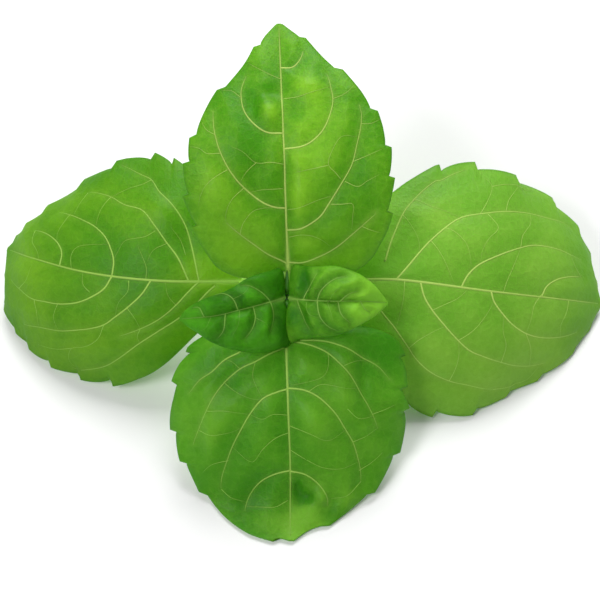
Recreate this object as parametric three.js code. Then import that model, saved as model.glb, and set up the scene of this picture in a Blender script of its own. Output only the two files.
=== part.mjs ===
// The tip of a cut basil sprig, lying down: two pairs of large leaves set crosswise, a pair of young
// leaves in the middle and the bent stem behind them. Millimetres, +Z up, the surface at Z = 0.
//
// Leaves are laid out in the face frame of the rosette, (right, up, out): "out" is the way that the
// rosette faces, "up" runs along the top leaf. A leaf has a midrib curve and two sides. A point on
// it is (y, b): y runs from 0 at the blade's base to 1 at its tip, b from -1 to 1 across the midrib.
import * as THREE from "three";

const FACE_TILT = THREE.MathUtils.degToRad(58); // how far the rosette's face looks up
const NODE_HEIGHT = 28; // of the rosette's node above the surface
const CENTRE = [3.9, 4.3]; // X and Y of the sprig's box centre, measured from the rosette's node
const BLADE = 0.7; // thickness of a blade
const RIDGE = 0.9; // how far the midrib stands out below the blade at its base
const RIDGE_REACH = 0.9; // half-width of that ridge
const NOTCH = 0.07; // part of a tooth's length that its steep end takes
const VEIN_POWER = 0.4; // how quickly a side vein leaves the midrib before it bends forward
const OUTER_AREA = -0.7; // vein coordinate of the blade's outermost, basal part
const STATIONS = [0, 0.04, 0.15, 0.32, 0.5, 0.68, 0.84, 0.95, 1]; // where half-widths are given
const ACROSS = [-1, -0.88, -0.66, -0.42, -0.2, -0.06, 0, 0.06, 0.2, 0.42, 0.66, 0.88, 1];
const PETIOLE_RINGS = 4;
const YOUNG_RINGS = 17;

// Midrib points are in millimetres in the face frame, rightward is the direction of side 1,
// and every pair of lists holds side 0 and side 1. halfWidths are at the inner STATIONS.
// fold and curl are degrees at the blade's base, middle and tip. toothTips and veins are places
// along y, where a tooth ends and where a side vein leaves the midrib. quilt is the height of the
// bulges between side veins. spread is how far out side veins reach, for one at y = 0, and how much
// less for one at y = 1. lobe is how far the base's outer parts are drawn back towards the stem.
const LEAVES = {
  leaf_top: {
    midrib: [[0.1, 3.1, -1.6], [0.2, 6.2, 1], [-0.2, 21, 8], [-0.9, 38.3, 9], [-1.8, 59.9, 1]],
    rightward: [1, 0, 0],
    petiole: 3.6,
    stalk: 0.95,
    halfWidths: [[12.1, 18.5, 21.8, 20.6, 15.6, 7.4, 3.1], [13.4, 20.8, 23.1, 22.5, 18.3, 10.1, 4.1]],
    fold: [[20, 10, 4], [20, 10, 4]],
    curl: [[-25, -22, -14], [-25, -22, -14]],
    lobe: 2.6,
    toothTips: [[0.21, 0.323, 0.449, 0.542, 0.727, 0.899], [0.24, 0.365, 0.476, 0.621, 0.788, 0.933]],
    toothDepth: 1.3,
    veins: [[0.06, 0.27, 0.55, 0.8], [0.06, 0.19, 0.49, 0.81]],
    quilt: 0.6,
    spread: [1.1, 0.3],
    wave: [0.5, 2.5, 0.4],
    colour: 0x5f9a26,
  },
  leaf_bottom: {
    midrib: [[0, -2.3, -1.8], [-0.2, -7.2, 0.7], [0.2, -22.5, 3], [0.7, -36, 0.4], [0.7, -46, -1.9], [0.7, -53.9, 0.3]],
    rightward: [-1, 0, 0],
    petiole: 4.2,
    stalk: 0.95,
    halfWidths: [[19.4, 26.4, 27, 27.1, 22.8, 14.5, 4.2], [15.6, 23.8, 26.6, 27, 23.8, 17, 11]],
    fold: [[14, 8, 2], [14, 8, 2]],
    curl: [[-35, -42, -8], [-35, -42, -8]],
    lobe: 1,
    toothTips: [[0.15, 0.3, 0.426, 0.623, 0.775, 0.911], [0.109, 0.238, 0.496, 0.644, 0.786, 0.941]],
    toothDepth: 1.4,
    veins: [[0.03, 0.1, 0.28, 0.46, 0.665], [0.03, 0.12, 0.29, 0.48, 0.67]],
    quilt: 0.6,
    spread: [1.1, 0.55],
    wave: [0.6, 2.5, 2],
    colour: 0x4f8f22,
  },
  leaf_left: {
    midrib: [[-2.4, 2.8, -11], [-10.5, 3.4, -9], [-28.3, 3.6, -7], [-44.3, 5.4, -11], [-57.5, 8.7, -19.5], [-64.9, 11.1, -29]],
    rightward: [0, 1, 0],
    petiole: 8,
    stalk: 1.1,
    halfWidths: [[3.8, 11.7, 22.6, 26.4, 25, 21.3, 15], [13.3, 24.4, 29.2, 29, 23.9, 13.6, 5.3]],
    fold: [[6, 4, 20], [6, 1, -6]],
    curl: [[-25, -43, -32], [-25, -40, -35]],
    lobe: 0,
    toothTips: [[0.465, 0.59, 0.705, 0.82, 0.9, 0.957, 0.984], [0.26, 0.39, 0.6, 0.74, 0.86, 0.935, 0.975]],
    toothDepth: 1.8,
    veins: [[0.04, 0.15, 0.32, 0.47, 0.7], [0.04, 0.19, 0.467, 0.683]],
    quilt: 0.4,
    spread: [1.1, 0.95],
    wave: [0.6, 3, 1],
    colour: 0x6ba52b,
  },
  leaf_right: {
    midrib: [[2.4, 2.8, -11], [13, 3.6, -9], [25.2, 3.8, -7], [45.5, 1.3, -10], [62.3, -0.5, -19.5], [72.7, -1.6, -30]],
    rightward: [0, -1, 0],
    petiole: 9,
    stalk: 1.1,
    halfWidths: [[9.6, 19.1, 28.7, 30.3, 28.3, 23, 13.8], [14, 23.2, 29.7, 29.6, 23.2, 15.4, 7.2]],
    fold: [[6, 2, 6], [6, 3, 8]],
    curl: [[-30, -40, -35], [-25, -36, -35]],
    lobe: 0,
    toothTips: [[0.295, 0.44, 0.65, 0.815, 0.915, 0.961, 0.985], [0.27, 0.393, 0.53, 0.65, 0.76, 0.885, 0.96]],
    toothDepth: 1.8,
    veins: [[0.04, 0.19, 0.41, 0.7], [0.04, 0.11, 0.27, 0.51, 0.74]],
    quilt: 0.4,
    spread: [1.1, 1.1],
    wave: [0.6, 3, 3],
    colour: 0x72ab30,
  },
  young_leaf_left: {
    midrib: [[-1.2, 0, 1.5], [-0.9, -0.3, 4.2], [-4.4, -1.3, 7.7], [-10.1, -2.8, 9.8], [-15.6, -4.1, 9.3], [-23.2, -4.8, 5.6]],
    rightward: [0, 1, 0],
    petiole: 2.4,
    stalk: 0.5,
    halfWidths: [[9.6, 10.9, 10.7, 9.4, 6.5, 3.3, 1.3], [5.9, 6.6, 6.4, 5, 4.4, 3.3, 1.6]],
    fold: [[8, 20, 10], [8, 20, 10]],
    curl: [[-30, -50, -30], [-30, -50, -30]],
    lobe: 0.6,
    toothTips: [[], []],
    toothDepth: 0,
    veins: [[0.12, 0.3, 0.53, 0.75], [0.14, 0.4, 0.65]],
    quilt: 0.75,
    spread: [1.1, 0.4],
    wave: [0.25, 2, 0.5],
    colour: 0x4c8a20,
  },
  young_leaf_right: {
    midrib: [[1.2, 0, 1.5], [0.9, -0.3, 4.2], [4.4, -0.7, 7.7], [10.1, -0.9, 9.8], [15.8, -0.9, 9.3], [21.8, -1.3, 5.6]],
    rightward: [0, -1, 0],
    petiole: 2.4,
    stalk: 0.5,
    halfWidths: [[6.8, 7.4, 7.6, 7.8, 6.2, 3.7, 1.4], [9, 8.9, 8.2, 7.6, 5.8, 3.5, 1.5]],
    fold: [[8, 20, 10], [8, 20, 10]],
    curl: [[-30, -50, -30], [-30, -50, -30]],
    lobe: 0.6,
    toothTips: [[], []],
    toothDepth: 0,
    veins: [[0.1, 0.21, 0.42, 0.66], [0.09, 0.28, 0.48, 0.7]],
    quilt: 0.75,
    spread: [1.1, 0.4],
    wave: [0.25, 2, 2.5],
    colour: 0x4c8a20,
  },
};

// The stem's centre line, from the bud down to the cut, and its half-thickness there. It is
// squarish, swells a little at its two nodes and lies along the surface at its cut end.
const STEM = [
  [[0, 0, 29], 0.25],
  [[0, 0.3, 28.6], 0.95],
  [[0, 0.9, 27.4], 1.35],
  [[0, 2.2, 25.7], 1.35],
  [[0, 5.6, 22.4], 1.45],
  [[0, 8.1, 20.1], 1.75],
  [[0, 10.2, 17.9], 1.6],
  [[0, 14.8, 13], 1.65],
  [[0, 21, 7.4], 1.75],
  [[0, 29, 3.6], 1.85],
  [[0, 40, 1.95], 2],
  [[0, 54, 1.95], 2.15],
];
const STEM_SIDES = 16;
const STEM_RINGS = 34;
const STEM_COLOUR = 0x7fa63f;

const clamp01 = (v) => Math.min(1, Math.max(0, v));
const smooth = (v) => clamp01(v) ** 2 * (3 - 2 * clamp01(v));

/** Face-frame (right, up, out) to a point of the part. */
function toWorld([right, up, out]) {
  const s = Math.sin(FACE_TILT);
  const c = Math.cos(FACE_TILT);
  return new THREE.Vector3(right - CENTRE[0], up * s - out * c - CENTRE[1], NODE_HEIGHT + up * c + out * s);
}

/** The parabola through values at y = 0, 0.5 and 1. */
function alongLeaf([base, middle, tip], y) {
  return base * (1 - y) * (1 - 2 * y) + middle * 4 * y * (1 - y) + tip * y * (2 * y - 1);
}

/** Half-width of a blade's side without its teeth: a smooth curve through the given values. */
function halfWidth(values, y) {
  const v = [0, ...values, 0];
  const slope = (k) => {
    const a = Math.max(k - 1, 0);
    const b = Math.min(k + 1, v.length - 1);
    return (v[b] - v[a]) / (STATIONS[b] - STATIONS[a]);
  };
  let k = 0;
  while (k < v.length - 2 && y > STATIONS[k + 1]) k += 1;
  const gap = STATIONS[k + 1] - STATIONS[k];
  const t = clamp01((y - STATIONS[k]) / gap);
  const from = v[k] + t * t * (3 - 2 * t) * (v[k + 1] - v[k]);
  return Math.max(0, from + gap * t * (1 - t) * ((1 - t) * slope(k) - t * slope(k + 1)));
}

/** How far a tooth moves the margin at y: out to its tip, then steeply back to the notch. */
function toothOffset(leaf, side, y) {
  const tips = leaf.toothTips[side];
  if (!tips.length) return 0;
  const first = tips[0] - 0.8 * (tips[1] - tips[0]);
  if (y < first) return 0;
  if (y < tips[0]) return (leaf.toothDepth * 0.5 * (y - first)) / (tips[0] - first);
  const k = tips.findLastIndex((tip) => y >= tip);
  const next = k + 1 < tips.length ? tips[k + 1] : 1;
  const f = (y - tips[k]) / (next - tips[k]);
  const profile = f < NOTCH ? 1 - f / NOTCH : ((f - NOTCH) / (1 - NOTCH)) ** 0.75;
  return leaf.toothDepth * (profile - 0.5) * (next === 1 ? 1 - f : 1);
}

/** The vein coordinate at (y, |b|): the place on the midrib where a side vein through it starts. */
function veinCoordinate(leaf, y, b) {
  const reach = (a) => leaf.spread[0] - leaf.spread[1] * Math.max(a, 0) - 0.3 * Math.min(a, 0);
  let low = OUTER_AREA;
  let high = 1;
  for (let i = 0; i < 24; i += 1) {
    const a = (low + high) / 2;
    if (a + (1 - a) * (b / reach(a)) ** (1 / VEIN_POWER) > y) high = a;
    else low = a;
  }
  return (low + high) / 2;
}

/** Height of the quilted bulge between two side veins. It dies out at the midrib and the margin. */
function quiltHeight(leaf, side, y, b) {
  const a = veinCoordinate(leaf, y, b);
  const lines = [OUTER_AREA, ...leaf.veins[side], 1];
  const k = lines.findLastIndex((line) => a >= line);
  if (k < 0 || k > lines.length - 2) return 0;
  const f = (a - lines[k]) / (lines[k + 1] - lines[k]);
  const size = Math.min(1, halfWidth(leaf.halfWidths[side], y) / 12);
  return leaf.quilt * size * Math.sin(Math.PI * f) * smooth(b / 0.25) * (1 - b ** 4);
}

/** Makes a leaf's point function: (y, b, withTeeth) to a face-frame point on its middle surface. */
function leafSurface(leaf) {
  const curve = new THREE.CatmullRomCurve3(
    leaf.midrib.map((p) => new THREE.Vector3(...p)),
    false,
    "catmullrom",
    0.5,
  );
  curve.arcLengthDivisions = 400;
  const length = curve.getLength();
  const right = new THREE.Vector3(...leaf.rightward);
  const frame = (y) => {
    const u = clamp01((leaf.petiole + (length - leaf.petiole) * y) / length);
    const along = curve.getTangentAt(u);
    const across = right.clone().addScaledVector(along, -right.dot(along)).normalize();
    return { origin: curve.getPointAt(u), along, across, out: across.clone().cross(along) };
  };
  const point = (y, b, withTeeth = true) => {
    const side = b > 0 ? 1 : 0;
    const reach = Math.abs(b);
    const { origin, along, across, out } = frame(y);
    const inner = Math.max(leaf.stalk, halfWidth(leaf.halfWidths[side], clamp01(y)));
    const tooth = withTeeth ? toothOffset(leaf, side, y) * clamp01((reach - 0.8) / 0.2) : 0;
    const width = Math.max(0.45, y < 0 ? leaf.stalk : y > 0.97 ? Math.min(inner, halfWidth(leaf.halfWidths[side], y)) : inner);
    const fold = THREE.MathUtils.degToRad(alongLeaf(leaf.fold[side], clamp01(y)));
    const curl = THREE.MathUtils.degToRad(alongLeaf(leaf.curl[side], clamp01(y)));
    const turn = fold + (curl * reach) / 2;
    const chord = curl * reach === 0 ? 1 : Math.sin((curl * reach) / 2) / ((curl * reach) / 2);
    const distance = (width * reach + tooth) * chord;
    const wave = leaf.wave[0] * reach ** 3 * Math.sin(2 * Math.PI * leaf.wave[1] * y + leaf.wave[2] + side * 1.7);
    const lift = (wave + quiltHeight(leaf, side, clamp01(y), reach)) * smooth(y / 0.1) * smooth((1 - y) / 0.08);
    return origin
      .addScaledVector(across, distance * Math.cos(turn) * Math.sign(b))
      .addScaledVector(out, distance * Math.sin(turn) + lift)
      .addScaledVector(along, -leaf.lobe * reach ** 2 * (1 - smooth(y / 0.3)));
  };
  return { point, frame, length };
}

/** Places along y of a side's rings: three to each tooth, so that tips and notches stay sharp. */
function ringPlaces(leaf, side) {
  const tips = leaf.toothTips[side];
  if (!tips.length) return Array.from({ length: YOUNG_RINGS }, (_, i) => 0.5 - 0.5 * Math.cos((Math.PI * i) / (YOUNG_RINGS - 1)));
  const first = tips[0] - 0.8 * (tips[1] - tips[0]);
  const places = [0, 0.012, 0.04, 0.5 * (0.04 + first), first, 0.5 * (first + tips[0]), tips[0]];
  tips.forEach((tip, k) => {
    const next = k + 1 < tips.length ? tips[k + 1] : 1;
    const notch = tip + NOTCH * (next - tip);
    places.push(notch, notch + 0.45 * (next - notch), next);
  });
  return places;
}

/** A closed leaf: rings of points round the petiole and then round the blade, joined in turn. */
function leafGeometry(leaf) {
  const { point, frame, length } = leafSurface(leaf);
  const [left, right] = [ringPlaces(leaf, 0), ringPlaces(leaf, 1)];
  const rings = [];
  const start = -leaf.petiole / (length - leaf.petiole);
  for (let i = 0; i < PETIOLE_RINGS; i += 1) {
    const y = start * (1 - i / PETIOLE_RINGS);
    rings.push({ y: [y, y], round: 1 });
  }
  left.forEach((y, i) => {
    const width = Math.max(halfWidth(leaf.halfWidths[0], y), halfWidth(leaf.halfWidths[1], right[i]));
    rings.push({ y: [y, right[i]], round: y > 0.5 ? 0 : 1 - smooth((width - leaf.stalk) / 4) });
  });

  const positions = [];
  const count = ACROSS.length;
  const put = (p) => positions.push(p.x, p.y, p.z);
  for (const { y: [yLeft, yRight], round } of rings) {
    const middle = (yLeft + yRight) / 2;
    const { origin, across, out } = frame(middle);
    const upper = [];
    const lower = [];
    ACROSS.forEach((b, i) => {
      const y = middle + ((b > 0 ? yRight : yLeft) - middle) * Math.abs(b) ** 1.5;
      const at = point(y, b);
      const step = 0.01;
      const inside = THREE.MathUtils.clamp(b, -1 + step, 1 - step);
      const alongY = point(y + step, inside, false).sub(point(y - step, inside, false));
      const acrossB = point(y, inside + step, false).sub(point(y, inside - step, false));
      const normal = acrossB.cross(alongY).normalize();
      const ridge = RIDGE * (1 - 0.75 * clamp01(middle)) * Math.exp(-((at.distanceTo(origin) / RIDGE_REACH) ** 2));
      const angle = Math.PI * (1 - (i + 0.5) / count);
      const rim = origin.clone().addScaledVector(across, leaf.stalk * Math.cos(angle));
      const high = rim.clone().addScaledVector(out, leaf.stalk * Math.sin(angle));
      const low = rim.clone().addScaledVector(out, -leaf.stalk * Math.sin(angle));
      upper.push(at.clone().addScaledVector(normal, BLADE / 2).lerp(high, round));
      lower.push(at.clone().addScaledVector(normal, -BLADE / 2 - ridge).lerp(low, round));
    });
    // What would reach below the surface is pressed flat against it.
    const low = lower.map((p) => toWorld([p.x, p.y, p.z]));
    const high = upper.map((p) => toWorld([p.x, p.y, p.z]));
    low.forEach((p, i) => {
      p.z = Math.max(p.z, 0);
      high[i].z = Math.max(high[i].z, Math.min(p.z + 0.62, 0.62));
    });
    high.forEach(put);
    low.forEach(put);
  }
  const upperAt = (ring, i) => ring * 2 * count + i;
  const lowerAt = (ring, i) => upperAt(ring, i) + count;
  const faces = [];
  const quad = (a, b, c, d) => faces.push(a, b, c, a, c, d);
  for (let r = 0; r < rings.length - 1; r += 1) {
    for (let i = 0; i < count - 1; i += 1) {
      quad(upperAt(r, i), upperAt(r, i + 1), upperAt(r + 1, i + 1), upperAt(r + 1, i));
      faces.push(lowerAt(r, i), lowerAt(r + 1, i + 1), lowerAt(r, i + 1));
      faces.push(lowerAt(r, i), lowerAt(r + 1, i), lowerAt(r + 1, i + 1));
    }
    quad(lowerAt(r, count - 1), lowerAt(r + 1, count - 1), upperAt(r + 1, count - 1), upperAt(r, count - 1));
    quad(lowerAt(r + 1, 0), lowerAt(r, 0), upperAt(r, 0), upperAt(r + 1, 0));
  }
  const last = rings.length - 1;
  for (let i = 0; i < count - 1; i += 1) {
    quad(lowerAt(0, i), lowerAt(0, i + 1), upperAt(0, i + 1), upperAt(0, i));
    quad(lowerAt(last, i + 1), lowerAt(last, i), upperAt(last, i), upperAt(last, i + 1));
  }
  return meshOf(positions, faces);
}

/** The stem: rounded-square rings along its centre line, closed by the bud and by the cut. */
function stemGeometry() {
  const curve = new THREE.CatmullRomCurve3(STEM.map(([p]) => new THREE.Vector3(...p)), false, "catmullrom", 0.5);
  const size = new THREE.CatmullRomCurve3(STEM.map(([, r], i) => new THREE.Vector3(i, r, 0)), false, "catmullrom", 0.5);
  const across = new THREE.Vector3(1, 0, 0);
  const positions = [];
  for (let k = 0; k < STEM_RINGS; k += 1) {
    const t = (k / (STEM_RINGS - 1)) ** 1.3;
    const centre = curve.getPoint(t);
    const out = across.clone().cross(curve.getTangent(t)).normalize();
    for (let i = 0; i < STEM_SIDES; i += 1) {
      const angle = (2 * Math.PI * i) / STEM_SIDES;
      const r = size.getPoint(t).y * (1 - 0.07 * Math.cos(4 * angle));
      const p = centre.clone().addScaledVector(across, r * Math.cos(angle)).addScaledVector(out, r * Math.sin(angle));
      positions.push(p.x - CENTRE[0], p.y - CENTRE[1], Math.max(p.z, 0));
    }
  }
  const faces = [];
  const at = (k, i) => k * STEM_SIDES + (i % STEM_SIDES);
  for (let k = 0; k < STEM_RINGS - 1; k += 1) {
    for (let i = 0; i < STEM_SIDES; i += 1) {
      faces.push(at(k, i), at(k + 1, i + 1), at(k, i + 1), at(k, i), at(k + 1, i), at(k + 1, i + 1));
    }
  }
  const ends = [0, STEM_RINGS - 1];
  ends.forEach((k, end) => {
    const middle = curve.getPoint(end);
    const index = positions.length / 3;
    positions.push(middle.x - CENTRE[0], middle.y - CENTRE[1], middle.z);
    for (let i = 0; i < STEM_SIDES; i += 1) {
      if (end) faces.push(index, at(k, i + 1), at(k, i));
      else faces.push(index, at(k, i), at(k, i + 1));
    }
  });
  return meshOf(positions, faces);
}

/** A geometry from plain lists of coordinates and vertex numbers. */
function meshOf(positions, faces) {
  const geometry = new THREE.BufferGeometry();
  geometry.setAttribute("position", new THREE.Float32BufferAttribute(positions, 3));
  geometry.setIndex(faces);
  geometry.computeVertexNormals();
  return geometry;
}

/** A named mesh in its own colour. */
function piece(name, geometry, colour) {
  const material = new THREE.MeshStandardMaterial({ color: colour, roughness: 0.5, metalness: 0 });
  const mesh = new THREE.Mesh(geometry, material);
  mesh.name = name;
  return mesh;
}

const sprig = new THREE.Group();
sprig.add(piece("stem", stemGeometry(), STEM_COLOUR));
for (const [name, leaf] of Object.entries(LEAVES)) sprig.add(piece(name, leafGeometry(leaf), leaf.colour));

export default sprig;
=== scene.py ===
"""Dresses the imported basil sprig: toothed and quilted leaves with their veins, the stem with its bud, and the light.

Leaves are worked out in millimetres in the face frame of the rosette, (right, up, out), where "out" is the
way that the rosette faces and "up" runs along the top leaf. A place on a leaf is (y, b): y runs from 0 at
the blade's base to 1 at its tip, and b from -1 to 1 across the midrib. Points become metres on the way out.
"""

from __future__ import annotations

import logging
import math
from dataclasses import dataclass, field
from enum import Enum

import bpy
import numpy as np
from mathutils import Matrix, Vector

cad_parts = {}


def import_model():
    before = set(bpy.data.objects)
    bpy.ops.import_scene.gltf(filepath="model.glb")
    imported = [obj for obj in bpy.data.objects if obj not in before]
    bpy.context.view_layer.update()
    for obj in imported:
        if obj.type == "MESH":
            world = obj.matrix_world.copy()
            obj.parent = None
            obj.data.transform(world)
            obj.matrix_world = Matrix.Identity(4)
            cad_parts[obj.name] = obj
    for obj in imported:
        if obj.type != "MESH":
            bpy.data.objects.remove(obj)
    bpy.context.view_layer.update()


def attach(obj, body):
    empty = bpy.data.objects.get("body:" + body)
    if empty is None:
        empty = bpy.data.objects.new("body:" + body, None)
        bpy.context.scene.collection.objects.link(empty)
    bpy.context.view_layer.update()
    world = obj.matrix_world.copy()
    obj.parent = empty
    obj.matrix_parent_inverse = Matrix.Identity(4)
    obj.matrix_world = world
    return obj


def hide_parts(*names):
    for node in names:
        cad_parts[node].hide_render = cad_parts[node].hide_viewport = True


log = logging.getLogger("basil")

MM = 0.001
STATIONS = np.array([0, 0.04, 0.15, 0.32, 0.5, 0.68, 0.84, 0.95, 1])
NOTCH = 0.07  # part of a tooth's length that its steep end takes
REST_SOFTNESS = 0.8  # how softly a blade bends where it meets the surface below
RIDGE = 0.9  # how far the midrib stands out below the blade at its base
RIDGE_REACH = 0.9

Pair = tuple[float, float]
Triple = tuple[float, float, float]
Line = tuple[Pair, ...]

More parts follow.
